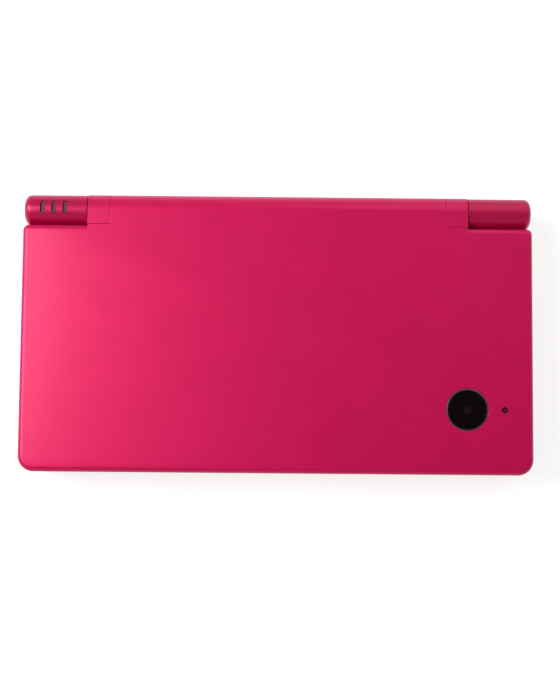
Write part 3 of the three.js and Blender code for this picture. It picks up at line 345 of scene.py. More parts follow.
def outline(plan, inset):
    """A rectangle with round corners: plan is (x0, x1, y0, y1, front radius, rear radius)."""
    x0, x1, y0, y1, front, rear = plan
    corners = [(x1, y0, 1, -1, front), (x1, y1, 1, 1, rear), (x0, y1, -1, 1, rear), (x0, y0, -1, -1, front)]
    points = []
    for number, (x, y, along_x, along_y, radius) in enumerate(corners):
        turn = max(radius - inset, LEAST_ROUND)
        middle_x = x - along_x * (inset + turn)
        middle_y = y - along_y * (inset + turn)
        for step in range(CORNER_STEPS + 1):
            angle = (number - 1 + step / CORNER_STEPS) * QUARTER
            points.append((middle_x + turn * math.cos(angle), middle_y + turn * math.sin(angle)))
    return points


def quarter_turn(first=0):
    """A round edge of radius 1, step by step: pairs of 1 - cosine and 1 - sine."""
    angles = [step / EDGE_STEPS * QUARTER for step in range(first, EDGE_STEPS + 1)]
    return [(1 - math.cos(angle), 1 - math.sin(angle)) for angle in angles]


def levels(z0, z1, bottom, top):
    """Heights and insets of a body whose bottom and top edges are round."""
    lower = [(z0 + bottom * near, bottom * far) for near, far in quarter_turn()[:-1] if bottom > 0]
    upper = [(z1 - top * far, top * near) for near, far in quarter_turn(1) if top > 0]
    return [*lower, (z0 + bottom, 0), (z1 - top, 0), *upper]


def stack(plan, heights, extra=0):
    return loft([[(x, y, z) for x, y in outline(plan, inset + extra)] for z, inset in heights])


def straight(plan, inset, z0, z1):
    return stack(plan, [(z0, 0), (z1, 0)], inset)


def roomy(vertex, edge, room):
    """Whether the edge can be rounded at this end: the edges beside it are long, or carry it on."""
    along = (edge.other_vert(vertex).co - vertex.co).normalized()
    for other in vertex.link_edges:
        if other == edge or other.calc_length() >= room:
            continue
        onward = (other.other_vert(vertex).co - vertex.co).normalized()
        if along.dot(onward) > -CARRIED_ON or other.calc_face_angle(0) < SHARP_ANGLE:
            return False
    return True


def mark_edges(shape, width):
    """Gives every sharp outward edge that has room for a round its full bevel weight."""
    weight = shape.edges.layers.float.new("bevel_weight_edge")
    room = ROOM_SHARE * width * MM
    for edge in shape.edges:
        if edge.calc_face_angle_signed(0) > SHARP_ANGLE:
            free = all(roomy(vertex, edge, room) for vertex in edge.verts)
            edge[weight] = 1.0 if free else 0.0


def shown_shape(body):
    """The body's mesh after its modifiers, in triangles, and the area that its faces had before that."""
    shaped = body.evaluated_get(bpy.context.evaluated_depsgraph_get())
    shape = bmesh.new()
    shape.from_mesh(shaped.to_mesh())
    shaped.to_mesh_clear()
    area = sum(face.calc_area() for face in shape.faces)
    bmesh.ops.triangulate(shape, faces=shape.faces)
    bmesh.ops.remove_doubles(shape, verts=shape.verts, dist=SAME_POINT)
    return shape, area


def extent(vertices):
    """The least and the greatest value of each coordinate."""
    points = [vertex.co for vertex in vertices]
    return [(min(at[axis] for at in points), max(at[axis] for at in points)) for axis in range(3)]


def sound(body):
    """Whether the rounded body is closed, stays inside its plain shape and has no face across another."""
    shape, area = shown_shape(body)
    cut_area = sum(face.calc_area() for face in shape.faces)
    closed = all(len(edge.link_faces) == 2 for edge in shape.edges)
    pairs = zip(extent(body.data.vertices), extent(shape.verts))
    inside = all(low - BOX_SLACK < least and most < high + BOX_SLACK for (low, high), (least, most) in pairs)
    shape.free()
    return closed and inside and abs(cut_area - area) < SOUND_SHARE * area


def add_round(body, width, segments):
    """Rounds the marked edges, and tells whether the body is sound with that."""
    edge = body.modifiers.new("edge", "BEVEL")
    edge.width = width * MM
    edge.segments = segments
    edge.limit_method = "WEIGHT"
    edge.miter_outer = "MITER_ARC"
    edge.use_clamp_overlap = False
    edge.harden_normals = True
    weld = body.modifiers.new("weld", "WELD")
    weld.merge_threshold = WELD_DISTANCE * MM
    return sound(body)


def soften(body, width, segments):
    """Fine rounds on the sharp edges, of full or half width, and smooth shading between them."""
    shape = bmesh.new()
    shape.from_mesh(body.data)
    bmesh.ops.remove_doubles(shape, verts=shape.verts, dist=MERGE_DISTANCE * MM)
    bmesh.ops.dissolve_limit(shape, angle_limit=FLAT_ANGLE, verts=shape.verts, edges=shape.edges)
    if width > 0:
        mark_edges(shape, width)
    shape.to_mesh(body.data)
    shape.free()
    for polygon in body.data.polygons:
        polygon.use_smooth = True
    body.data.set_sharp_from_angle(angle=SHARP_ANGLE)
    for tried in (width, width / 2):
        if tried > 0 and add_round(body, tried, segments):
            return
        body.modifiers.clear()
    smooth = body.modifiers.new("smooth", "WEIGHTED_NORMAL")
    smooth.mode = "FACE_AREA"
    smooth.keep_sharp = True


PLAN = (-HALF_WIDTH, HALF_WIDTH, FRONT_Y, BASE_REAR_Y, FRONT_CORNER, BASE_REAR_CORNER)
LID_PLAN = (-HALF_WIDTH, HALF_WIDTH, FRONT_Y, LID_REAR_Y, FRONT_CORNER, LID_REAR_CORNER)
DECK_PLAN = (-HALF_WIDTH, HALF_WIDTH, FRONT_Y, LID_REAR_Y, FRONT_CORNER, BASE_REAR_CORNER)

CAMERA_X, CAMERA_Y = centre(RING_LOW, RING_HIGH)
RING_RADIUS = RING_HIGH.x - CAMERA_X

# Materials
NOISE_RANGE = (0.3, 0.7)  # where most of a noise's values lie
WORN_RADIUS = 0.35
WORN_SHARE = 0.3
RUBBED = 0.025  # by which rubbed patches change the roughness
COAT_ROUGHNESS = 0.2
GLASS_LEVEL = 0.3


def blank(name):
    material = bpy.data.materials.new(name)
    material.use_nodes = True
    return material, material.node_tree


def feed(tree, node, inputs):
    """Gives inputs of a node their values; each is another node's socket or a plain value."""
    for name, value in inputs.items():
        if isinstance(value, bpy.types.NodeSocket):
            tree.links.new(value, node.inputs[name])
        else:
            node.inputs[name].default_value = value
    return node


def added(tree, kind, inputs):
    """A new node with values for its inputs."""
    return feed(tree, tree.nodes.new(f"ShaderNode{kind}"), inputs)


def calculated(tree, operation, *values, kind="Math", output="Value"):
    """What a calculation makes of its values."""
    node = tree.nodes.new(f"ShaderNode{kind}")
    node.operation = operation
    return feed(tree, node, dict(enumerate(values))).outputs[output]


def on_object(tree):
    """The place on the object, in metres."""
    return tree.nodes.new("ShaderNodeTexCoord").outputs["Object"]


def noise(tree, scale_mm, detail=3.0, rough=0.5, stretch=(1, 1, 1)):
    """Noise whose grains are about scale_mm across; stretch makes them longer along an axis."""
    scale = [1 / (scale_mm * MM * share) for share in stretch]
    place_there = added(tree, "Mapping", {"Vector": on_object(tree), "Scale": scale}).outputs["Vector"]
    values = {"Vector": place_there, "Scale": 1, "Detail": detail, "Roughness": rough}
    return added(tree, "TexNoise", values).outputs["Fac"]


def spread(tree, value, low, high, to_low, to_high):
    """The value with its range from low to high spread over another, and held at its ends."""
    ends = {"From Min": low, "From Max": high, "To Min": to_low, "To Max": to_high}
    return added(tree, "MapRange", {"Value": value, **ends}).outputs["Result"]


def linear(colour):
    """Display values, 0 to 255, as the shader's linear colour."""
    shares = [value / 255 for value in colour]
    return (*[one / 12.92 if one <= 0.04045 else ((one + 0.055) / 1.055) ** 2.4 for one in shares], 1)


def mixed(tree, share, first, second):
    """A mix of two colours; each is a socket or display values."""
    mix = tree.nodes.new("ShaderNodeMix")
    mix.data_type = "RGBA"
    at = {socket.identifier: number for number, socket in enumerate(mix.inputs)}
    colours = [linear(colour) if isinstance(colour, tuple) else colour for colour in (first, second)]
    feed(tree, mix, {at["Factor_Float"]: share, at["A_Color"]: colours[0], at["B_Color"]: colours[1]})
    return [one for one in mix.outputs if one.identifier == "Result_Color"][0]


def finished(material, colour, roughness, layers, level=0.5, metallic=0.0):
    """The material with its looks; each bump layer is a height and its depth in millimetres."""
    tree = material.node_tree
    normal = {}
    for height, depth in layers:
        bump = added(tree, "Bump", {"Strength": 1, "Distance": depth * MM, "Height": height, **normal})
        normal = {"Normal": bump.outputs["Normal"]}
    feed(tree, tree.nodes["Principled BSDF"], {
        "Base Color": colour, "Roughness": roughness, "Specular IOR Level": level, "Metallic": metallic,
        **normal,
    })
    return material


def worn_edges(tree):
    """A share that nears 1 along edges, where the surface turns within a short way."""
    flat = tree.nodes.new("ShaderNodeNewGeometry").outputs["Normal"]
    rounded = added(tree, "Bevel", {"Radius": WORN_RADIUS * MM})
    rounded.samples = 4
    same = calculated(tree, "DOT_PRODUCT", flat, rounded.outputs["Normal"], kind="VectorMath")
    return spread(tree, same, 0.99, 0.8, 0, 1)


def moulded(name, colour, deep, pale, roughness, grain_mm=0.12, grain_depth=0.004, scratch_depth=0.0012,
            pearl=0.0, level=0.3, coat=0.0):
    """Satin moulded plastic: clouded colour, fine grain, rubbed patches, pale edges and a few specks."""
    material, tree = blank(name)
    base = mixed(tree, spread(tree, noise(tree, 14, 2), 0.35, 0.65, 0, 1), deep, colour)
    mottle = spread(tree, noise(tree, 0.5, 4), *NOISE_RANGE, 0, 0.08)
    worn = calculated(tree, "MULTIPLY", worn_edges(tree), WORN_SHARE)
    dust = spread(tree, noise(tree, 0.8, 1), 0.81, 0.83, 0, 0.4)
    for share in (mottle, worn, dust):
        base = mixed(tree, share, base, pale)
    rubbed = spread(tree, noise(tree, 9, 6, 0.75), *NOISE_RANGE, roughness - RUBBED, roughness + RUBBED)
    grain = noise(tree, grain_mm, 2)
    scratches = spread(tree, noise(tree, 0.25, 2, stretch=(1, 30, 1)), 0.62, 0.7, 1, 0)
    feed(tree, tree.nodes["Principled BSDF"], {"Coat Weight": coat, "Coat Roughness": COAT_ROUGHNESS})
    return finished(material, base, rubbed, [(grain, grain_depth), (scratches, scratch_depth)], level, pearl)


def from_axis(tree, x, y):
    """The distance in millimetres from an upright axis."""
    flat = calculated(tree, "MULTIPLY_ADD", on_object(tree), (1 / MM, 1 / MM, 0), (-x, -y, 0),
                      kind="VectorMath", output="Vector")
    return calculated(tree, "LENGTH", flat, kind="VectorMath")


def camera_ring():
    """Black inside, with a paler turned lip."""
    material, tree = blank("camera_ring")
    lip = spread(tree, from_axis(tree, CAMERA_X, CAMERA_Y), RING_RADIUS - 0.3, RING_RADIUS - 0.15, 0, 1)
    turned_metal = mixed(tree, noise(tree, 0.4, 3), (118, 58, 86), (146, 84, 110))
    colour = mixed(tree, lip, (10, 2, 5), turned_metal)
    roughness = spread(tree, noise(tree, 0.15, 2), *NOISE_RANGE, 0.22, 0.34)
    return finished(material, colour, roughness, [(noise(tree, 0.06, 2), 0.001)], GLASS_LEVEL)


def camera_glass():
    """Near-black glass over a lens whose coating shows as a faint warm spot."""
    material, tree = blank("camera_glass")
    spot = spread(tree, from_axis(tree, CAMERA_X, CAMERA_Y), 0.5, 1.25, 1, 0)
    coating = mixed(tree, noise(tree, 0.6, 2), (30, 12, 16), (40, 18, 24))
    colour = mixed(tree, spot, (8, 1, 4), coating)
    roughness = spread(tree, noise(tree, 4, 4), 0.4, 0.7, 0.06, 0.1)
    return finished(material, colour, roughness, [(noise(tree, 1.5, 1), 0.0004)], GLASS_LEVEL)


def steel():
    material, tree = blank("steel")
    colour = mixed(tree, noise(tree, 1.5, 3), (150, 152, 156), (196, 198, 202))
    brushed = noise(tree, 0.06, 2, stretch=(20, 1, 1))
    roughness = spread(tree, brushed, *NOISE_RANGE, 0.26, 0.44)
    return finished(material, colour, roughness, [(brushed, 0.002)], metallic=0.95)


def glass_black(name, seen, border, roughness):
    """Black gloss; the area of the picture shows a little through it."""
    material, tree = blank(name)
    parts = added(tree, "SeparateXYZ", {"Vector": on_object(tree)})
    in_width = calculated(tree, "COMPARE", parts.outputs["X"], 0, SCREEN_HALF[0] * MM)
    in_depth = calculated(tree, "COMPARE", parts.outputs["Y"], SCREEN_Y * MM, SCREEN_HALF[1] * MM)
    inside = calculated(tree, "MULTIPLY", in_width, in_depth)
    cloud = spread(tree, noise(tree, 6, 2), *NOISE_RANGE, 0, 0.12)
    colour = mixed(tree, inside, border, mixed(tree, cloud, seen, border))
    smear = spread(tree, noise(tree, 11, 4, 0.6), 0.4, 0.7, roughness, roughness + 0.03)
    return finished(material, colour, smear, [(noise(tree, 2.5, 1), 0.0006)])


def smoked(name, deep, pale):
    material, tree = blank(name)
    colour = mixed(tree, noise(tree, 0.8, 2), deep, pale)
    roughness = spread(tree, noise(tree, 0.2, 2), *NOISE_RANGE, 0.14, 0.26)
    return finished(material, colour, roughness, [(noise(tree, 0.1, 2), 0.002)])


def board():
    """Lacquer over tracks, with round pads."""
    material, tree = blank("board")
    where = on_object(tree)
    tracks = added(tree, "TexBrick", {"Vector": where, "Scale": 90, "Mortar Size": 0.03}).outputs["Fac"]
    dots = added(tree, "TexVoronoi", {"Vector": where, "Scale": 420}).outputs["Distance"]
    pads = spread(tree, dots, 0.18, 0.22, 1, 0)
    lacquer = mixed(tree, noise(tree, 3, 3), (18, 82, 52), (26, 104, 66))
    colour = mixed(tree, pads, mixed(tree, tracks, lacquer, (64, 138, 88)), (196, 166, 92))
    roughness = spread(tree, noise(tree, 1, 3), *NOISE_RANGE, 0.3, 0.48)
    return finished(material, colour, roughness, [(tracks, 0.02), (pads, 0.02)])


def battery():
    material, tree = blank("battery")
    colour = mixed(tree, noise(tree, 4, 2, stretch=(12, 1, 1)), (52, 54, 60), (74, 77, 84))
    roughness = spread(tree, noise(tree, 1, 3), *NOISE_RANGE, 0.4, 0.55)
    return finished(material, colour, roughness, [(noise(tree, 0.8, 3), 0.02)])


def flex():
    material, tree = blank("flex")
    lines = noise(tree, 0.4, 1, stretch=(40, 1, 1))
    colour = mixed(tree, lines, (150, 78, 30), (206, 128, 58))
    roughness = spread(tree, lines, *NOISE_RANGE, 0.25, 0.4)
    return finished(material, colour, roughness, [(lines, 0.01)])


PEARL = {"pearl": 0.3, "level": 0.2, "coat": 0.3}
# The base's pinks are a darker copy of the lid's shell pink: painted shade, so that the base's hinge barrels
# look dimmer than the lid
SHADE_PAINTED_PINKS = ((188, 5, 76), (183, 4, 73), (208, 36, 98))
SCREEN_HALF = (33.0, 24.75)
MATERIALS = {
    "shell_pink": moulded("shell_pink", (209, 6, 86), (205, 5, 83), (222, 40, 106), 0.42, **PEARL),
    "inner_pink": moulded("inner_pink", (207, 8, 86), (202, 7, 83), (220, 40, 106), 0.43, 0.2, 0.006,
                          **PEARL),
    "button_pink": moulded("button_pink", (214, 20, 94), (208, 16, 90), (228, 66, 120), 0.28, 0.1, 0.0004,
                           0.0002, level=0.5),
    "dark_plastic": moulded("dark_plastic", (38, 38, 42), (30, 30, 34), (70, 70, 76), 0.45, 0.15, 0.006),
    "grey_plastic": moulded("grey_plastic", (168, 166, 163), (156, 154, 151), (196, 195, 192), 0.4),
    "foot_rubber": moulded("foot_rubber", (120, 42, 66), (108, 36, 58), (150, 74, 96), 0.75, 0.1, 0.02),
    "pad_rubber": moulded("pad_rubber", (176, 174, 170), (164, 162, 158), (200, 198, 194), 0.7, 0.1, 0.015),
    "camera_ring": camera_ring(),
    "steel": steel(),
    "light_guide": smoked("light_guide", (84, 30, 46), (116, 56, 72)),
    "board": board(),
    "battery": battery(),
    "flex": flex(),
    "screen_glass": glass_black("screen_glass", (33, 36, 42), (9, 9, 12), 0.05),
    "display": glass_black("display", (46, 49, 54), (22, 22, 25), 0.22),
}
CAMERA_GLASS = camera_glass()
# The base pieces' pink, painted darker as shade
SHADE_PAINTED_PINK = moulded("base_pink_painted_shade", *SHADE_PAINTED_PINKS, 0.42, **PEARL)
# The same darker pink, painted shade, with a finer surface, for pieces whose curves are tight
SMALL_SHADE_PAINTED_PINK = moulded("small_pink_painted_shade", *SHADE_PAINTED_PINKS, 0.42, 0.1, 0.0006, 0.0002, **PEARL)
INDICATOR_GUIDE = smoked("indicator_guide", (82, 12, 36), (104, 26, 50))


def dress(body, node, slot, material=None, bevel=EDGE_BEVEL, segments=2):
    """Makes the body the shown piece for a node of the frame."""
    body.name = f"{node}_fine"
    body.data.name = body.name
    soften(body, bevel, segments)
    body.data.materials.clear()
    body.data.materials.append(material or MATERIALS[slot])
    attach(body, frame["nodes"][node]["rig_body"])
    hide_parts(node)


# Base

TRIGGER_LENGTH = 22.5
TRIGGER_SIDE = 6.4
TRIGGER_PLAY = 1.1
TRIGGER_THICKNESS = 2.2
TRIGGER_LOW, TRIGGER_HIGH = box("right_trigger")
TRIGGER_PIN_RADIUS = 0.9
TRIGGER_EAR_RADIUS = 1.7
TRIGGER_EAR_TOP = 6.7
TRIGGER_WEB = (0.5, 1.4)
TRIGGER_PIVOT_INSET = 4.2
TRIGGER_INNER_X = HALF_WIDTH - TRIGGER_LENGTH
TRIGGER_PIVOT_Y = BASE_REAR_Y - TRIGGER_PIVOT_INSET
SCREW_HEAD = 1.5
SCREW_SHANK = 0.7
BOSS_RADIUS = 2.6
BOSS_HEIGHT = 2.4
SCREW_SEAT = 1.7
SCREW_HEAD_HEIGHT = 0.9
COVER_SCREW_HEAD_HEIGHT = 0.35
RECESS_ARM = 0.85
RECESS_SLIMNESS = 0.32
RECESS_DEPTH = 0.4
RECESS_TAPER = (1.5, 0.7)
COVER_THICKNESS = 0.8
GRIP_WIDTH = 16.0
GRIP_DEPTH = 0.7
GRIP_HEIGHT = 0.35
CARD_Z = box("game_card_slot")[0].z
CARD_WIDTH = 35.0
CARD_HEIGHT = 4.5
PORT_MOUTH = (8.4, 2.2)
JACK_COLLAR = 2.2
STYLUS_RADIUS = 2.45
STYLUS_Y = (STYLUS_LOW.y + STYLUS_HIGH.y) / 2
STYLUS_Z = (STYLUS_LOW.z + STYLUS_HIGH.z) / 2
STYLUS_EDGE = 0.4
# Radius and distance along the stylus, from its tip and from its other end
STYLUS_TIP = ((0.12, 0), (0.55, 0.12), (0.9, 0.55), (STYLUS_RADIUS, 5))
STYLUS_END = ((STYLUS_RADIUS, 6), (2.1, 5.6), (2.1, 0.8), (STYLUS_RADIUS, STYLUS_EDGE))
ROCKER_DIP = 0.45
NAIL_DEPTH = 0.5
NAIL_ENDS = (1.2, 3.4)
NAIL_INSET = 1.1
FOOT_EDGE = 0.2
LIGHT_XS = [-HALF_WIDTH + LIGHT_FROM_END + step * LIGHT_PITCH for step in (-1, 0, 1)]

CORNERS = ("front_left", "front_right", "rear_left", "rear_right")
SCREW_NODES = [f"case_screw_{corner}" for corner in CORNERS]
FOOT_NODES = [f"foot_{corner}" for corner in CORNERS]
COVER_SCREW_NODES = ["cover_screw_left", "cover_screw_right"]
FACE_BUTTONS = ["button_east", "button_south", "button_north", "button_west"]
SMALL_BUTTONS = ["start_button", "select_button", "power_button"]
BUTTON_FLANGE = 0.7
BUTTON_FLANGE_HEIGHT = 0.5
BUTTON_POLE = 0.03  # radius of the small face in which the crowned top ends
PAD = middle("direction_pad")
PAD_SPAN = 20.0
PAD_ARM = 6.6
PAD_EDGE = 0.45
PAD_CORNER = 0.8
PAD_INNER_CORNER = 0.4
PAD_CORNER_STEPS = 8
PAD_GAP = 0.35
PAD_DISC_RADIUS = 6.6
PAD_DISC_HEIGHT = 0.25
DISH_RADIUS = 9.0
DISH_DEPTH = 0.3
DISH_ANGLE = 0.26
DISH_POLE = 0.02
GROOVE_WIDTH = 0.5
GROOVE_DEPTH = 0.22
GROOVE_FROM_END = 1.7
GROOVE_PITCH = 1.2


def trigger_space(side):
    ends = sorted((side * (TRIGGER_INNER_X - PART_GAP), side * (HALF_WIDTH + OVERRUN)))
    return block(*ends, BASE_REAR_Y - TRIGGER_SIDE - TRIGGER_PLAY, REAR_Y + OVERRUN,
                 TRIGGER_LOW.z - PART_GAP, TRIGGER_HIGH.z + PART_GAP)


def side_openings():
    inside = HALF_WIDTH - WALL - OVERRUN
    outside = HALF_WIDTH + OVERRUN
    return [
        side_hole("memory_card_door", inside, outside),
        side_hole("volume_rocker", -outside, -inside),
        rod_along_x(STYLUS_RADIUS + PART_GAP, inside, outside, STYLUS_Y, STYLUS_Z, SMALL_SIDES),
    ]


def end_openings():
    inside = BASE_REAR_Y - WALL - OVERRUN
    outside = REAR_Y + OVERRUN
    half = CARD_WIDTH / 2 + PART_GAP
    port = middle("charge_port")
    jack = middle("headphone_jack")
    return [
        block(-half, half, inside, outside, FLOOR_Z, CARD_Z + CARD_HEIGHT + PART_GAP),
        block(port.x - PORT_MOUTH[0] / 2 - PART_GAP, port.x + PORT_MOUTH[0] / 2 + PART_GAP, inside, outside,
              port.z - PORT_MOUTH[1] / 2 - PART_GAP, port.z + PORT_MOUTH[1] / 2 + PART_GAP),
        rod_along_y(JACK_COLLAR + PART_GAP, FRONT_Y - OVERRUN, FRONT_Y + WALL + OVERRUN, jack.x, jack.z),
    ]


def battery_bay():
    low_z = BOTTOM_Z - OVERRUN
    return [
        hole("battery_cover", PART_GAP, low_z, BOTTOM_Z + COVER_THICKNESS),
        hole("battery_pack", PART_GAP, low_z, FLOOR_Z + OVERRUN),
        *[rod_at(node, SCREW_SHANK + PART_GAP, low_z, box(node)[1].z) for node in COVER_SCREW_NODES],
    ]


def screw_holes(node, z, seat, top):
    """Room for a screw: its head from the face at z up to the seat, and its shank up to the top."""
    return [
        rod_at(node, SCREW_HEAD + PART_GAP, z - OVERRUN, z + seat),
        rod_at(node, SCREW_SHANK + PART_GAP, z, top),
    ]


def lower_shell():
    shell = stack(PLAN, levels(BOTTOM_Z, SEAM_Z, BASE_EDGE, 0))
    shell = carve(shell, [straight(PLAN, WALL, FLOOR_Z, SEAM_Z + OVERRUN)])
    ends = (FLOOR_Z - PART_GAP, FLOOR_Z + BOSS_HEIGHT)
    shell = unite([shell, *[rod_at(node, BOSS_RADIUS, *ends) for node in SCREW_NODES]])
    cuts = [*battery_bay(), *side_openings(), *end_openings(), trigger_space(-1), trigger_space(1)]
    for node in SCREW_NODES:
        cuts += screw_holes(node, BOTTOM_Z, SCREW_SEAT, FLOOR_Z + BOSS_HEIGHT + OVERRUN)
    shell = carve(shell, cuts)
    ends = (FLOOR_Z - PART_GAP, LOWER_HIGH.z)
    pins = [
        upright(TRIGGER_PIN_RADIUS, side * TRIGGER_INNER_X, TRIGGER_PIVOT_Y, *ends) for side in (-1, 1)
    ]
    return unite([shell, *pins])


def end_barrel(side):
    dome = [(BARREL_RADIUS, BARREL_INNER_X)]
    for step in range(2 * EDGE_STEPS + 1):
        angle = step / (2 * EDGE_STEPS) * QUARTER
        inward = 1 - max(math.cos(angle), 0) ** DOME_FULLNESS
        back = 1 - math.sin(angle) ** DOME_FULLNESS
        dome.append((BARREL_RADIUS - BARREL_DOME_DROP * inward, HALF_WIDTH - BARREL_DOME_LENGTH * back))
    round_part = turned_along_x(dome, HINGE_Y, HINGE_Z, BARREL_SIDES)
    saddle = block(BARREL_INNER_X, HALF_WIDTH - BARREL_DOME_LENGTH, HINGE_Y - BARREL_RADIUS,
                   HINGE_Y + BARREL_RADIUS - SADDLE_INSET, DECK_UNDER_Z, HINGE_Z)
    bore = rod_along_x(BARREL_BORE, BARREL_INNER_X - OVERRUN, HALF_WIDTH - BARREL_END_WALL, HINGE_Y, HINGE_Z)
    barrel = carve(unite([round_part, saddle]), [bore])
    return barrel if side > 0 else mirrored(barrel)


def light_body(x, margin, low, high):
    """One rounded status light, standing out of the barrel from one radius to another."""
    half_length = LIGHT_LENGTH / 2 + margin
    half_wide = LIGHT_WIDTH / 2 + margin
    ends = [upright(half_wide, x, end * (half_length - half_wide), low, high) for end in (-1, 1)]
    body = unite([slab(x, 0, 2 * half_wide, 2 * (half_length - half_wide), low, high), *ends])
    return place(body, LIGHT_PLACE)


def cross_outline(margin, inset):
    """The pad's cross, with round outer and inner corners."""
    span = PAD_SPAN / 2 + margin - inset
    arm = PAD_ARM / 2 + margin - inset
    outer = max(PAD_CORNER - inset, LEAST_ROUND)
    inner = max(PAD_INNER_CORNER - margin, LEAST_ROUND) + inset
    corners = [
        (span - outer, -arm + outer, outer, -1, 1),
        (span - outer, arm - outer, outer, 0, 1),
        (arm + inner, arm + inner, inner, 3, -1),
    ]
    points = []
    for quarter in range(4):
        along = Matrix.Rotation(quarter * QUARTER, 2)
        for x, y, radius, start, way in corners:
            for step in range(PAD_CORNER_STEPS + 1):
                angle = (start + way * step / PAD_CORNER_STEPS) * QUARTER
                point = along @ Vector((x + radius * math.cos(angle), y + radius * math.sin(angle)))
                points.append((PAD.x + point.x, PAD.y + point.y))
    return points


def cross_body(margin, z0, z1, edge=0):
    heights = levels(z0, z1, 0, edge)
    return loft([[(x, y, z) for x, y in cross_outline(margin, inset)] for z, inset in heights])


def deck_openings():
    cuts = [
        block(-SCREEN_HALF[0] - PART_GAP, SCREEN_HALF[0] + PART_GAP, SCREEN_Y - SCREEN_HALF[1] - PART_GAP,
              SCREEN_Y + SCREEN_HALF[1] + PART_GAP, DECK_UNDER_Z, RIM_Z),
        hole("touch_panel", PART_GAP, DECK_UNDER_Z - OVERRUN, BEZEL_Z),
        cross_body(PAD_GAP, DECK_UNDER_Z - OVERRUN, RIM_Z),
    ]
    for node in [*FACE_BUTTONS, *SMALL_BUTTONS]:
        at = middle(node)
        radius = box(node)[1].x - at.x - BUTTON_FLANGE
        cuts.append(upright(radius + PART_GAP, at.x, at.y, DECK_UNDER_Z - OVERRUN, RIM_Z))
    return cuts


def upper_shell():
    shell = stack(PLAN, levels(UPPER_Z, RIM_Z, 0, RIM_EDGE))
    shell = carve(shell, [straight(PLAN, WALL, UPPER_Z - OVERRUN, DECK_UNDER_Z)])
    backing = block(-BARREL_INNER_X, BARREL_INNER_X, HINGE_Y - TROUGH_RADIUS, BASE_REAR_Y - WALL,
                    DECK_UNDER_Z - TROUGH_BACKING, DECK_UNDER_Z + PART_GAP)
    shell = unite([shell, backing])
    cuts = [
        straight(DECK_PLAN, RIM_WIDTH, DECK_Z, RIM_Z + OVERRUN),
        axle(TROUGH_RADIUS, BARREL_INNER_X),
        block(-BARREL_INNER_X, BARREL_INNER_X, HINGE_Y, REAR_Y + OVERRUN,
              RIM_Z - REAR_LIP_DROP, RIM_Z + OVERRUN),
        *side_openings(),
        *end_openings(),
        *deck_openings(),
    ]
    shell = unite([carve(shell, cuts), end_barrel(-1), end_barrel(1)])
    slots = [light_body(x, 0, 0, HINGE_RADIUS + OVERRUN) for x in LIGHT_XS]
    return carve(shell, [*slots, trigger_space(-1), trigger_space(1)])


def battery_cover():
    """A plate with its screw holes and a grip at its front edge."""
    low, high = box("battery_cover")
    cuts = []
    for node in COVER_SCREW_NODES:
        cuts += screw_holes(node, low.z, COVER_SCREW_HEAD_HEIGHT, FLOOR_Z)
    x = centre(low, high)[0]
    cuts.append(block(x - GRIP_WIDTH / 2, x + GRIP_WIDTH / 2, low.y - OVERRUN, low.y + GRIP_DEPTH,
                      low.z - OVERRUN, low.z + GRIP_HEIGHT))
    return carve(plate("battery_cover"), cuts)


def screw(node, head_height):
    """A pan head with a cross recess whose arms narrow toward their bottom."""
    low, high = box(node)
    x, y = centre(low, high)
    crown = head_height / 4
    head = turned([
        (SCREW_SHANK, high.z), (SCREW_SHANK, low.z + head_height), (SCREW_HEAD, low.z + head_height),
        (SCREW_HEAD, low.z + crown), (SCREW_HEAD - crown / 2, low.z + crown / 4),
        (SCREW_HEAD - 2 * crown, low.z),
    ], x, y, SMALL_SIDES)
    depth = min(RECESS_DEPTH, head_height / 2)
    arms = []
    for long_x, long_y in ((1, RECESS_SLIMNESS), (RECESS_SLIMNESS, 1)):
        rings = []
        for z, share in zip((low.z - depth, low.z + depth), RECESS_TAPER):
            half_x = RECESS_ARM * long_x * share
            half_y = RECESS_ARM * long_y * share
            rings.append(rectangle(x - half_x, x + half_x, y - half_y, y + half_y, z))
        arms.append(loft(rings))
    return carve(head, arms)


def push_button(node, crown=0.25, edge=0.4):
    """A cap with a crowned top and its flange under the deck."""
    low, high = box(node)
    x, y = centre(low, high)
    reach = high.x - x
    radius = reach - BUTTON_FLANGE
    flange_z = low.z + BUTTON_FLANGE_HEIGHT
    profile = [(reach, low.z), (reach, flange_z), (radius, flange_z)]
    profile += [(radius - edge * near, high.z - crown - edge * far) for near, far in quarter_turn()]
    flat = radius - edge
    for step in range(1, EDGE_STEPS + 1):
        share = step / EDGE_STEPS
        profile.append((max(flat * (1 - share), BUTTON_POLE), high.z - crown * (1 - share) ** 2))
    return turned(profile, x, y)


def direction_pad():
    """The cross, with a shallow dish in its middle and two grooves across each arm."""
    low, high = box("direction_pad")
    cross = cross_body(0, low.z, high.z, PAD_EDGE)
    disc = upright(PAD_DISC_RADIUS, PAD.x, PAD.y, low.z, low.z + PAD_DISC_HEIGHT, ROUND_SIDES)
    rings = []
    for step in range(EDGE_STEPS + 1):
        angle = (1 - step / EDGE_STEPS) * DISH_ANGLE
        radius = max(DISH_RADIUS * math.sin(angle), DISH_POLE)
        rings.append((radius, high.z + DISH_RADIUS * (1 - math.cos(angle)) - DISH_DEPTH))
    bowl = turned([*rings[::-1], (rings[0][0], high.z + OVERRUN)], PAD.x, PAD.y)
    grooves = []
    for turn in range(4):
        angle = turn * QUARTER
        sides = (GROOVE_WIDTH, PAD_ARM / 2) if turn % 2 == 0 else (PAD_ARM / 2, GROOVE_WIDTH)
        for step in (0, 1):
            away = PAD_SPAN / 2 - GROOVE_FROM_END - step * GROOVE_PITCH
            x = PAD.x + away * math.cos(angle)
            y = PAD.y + away * math.sin(angle)
            grooves.append(slab(x, y, *sides, high.z - GROOVE_DEPTH, high.z + OVERRUN))
    return carve(unite([cross, disc]), [bowl, *grooves])


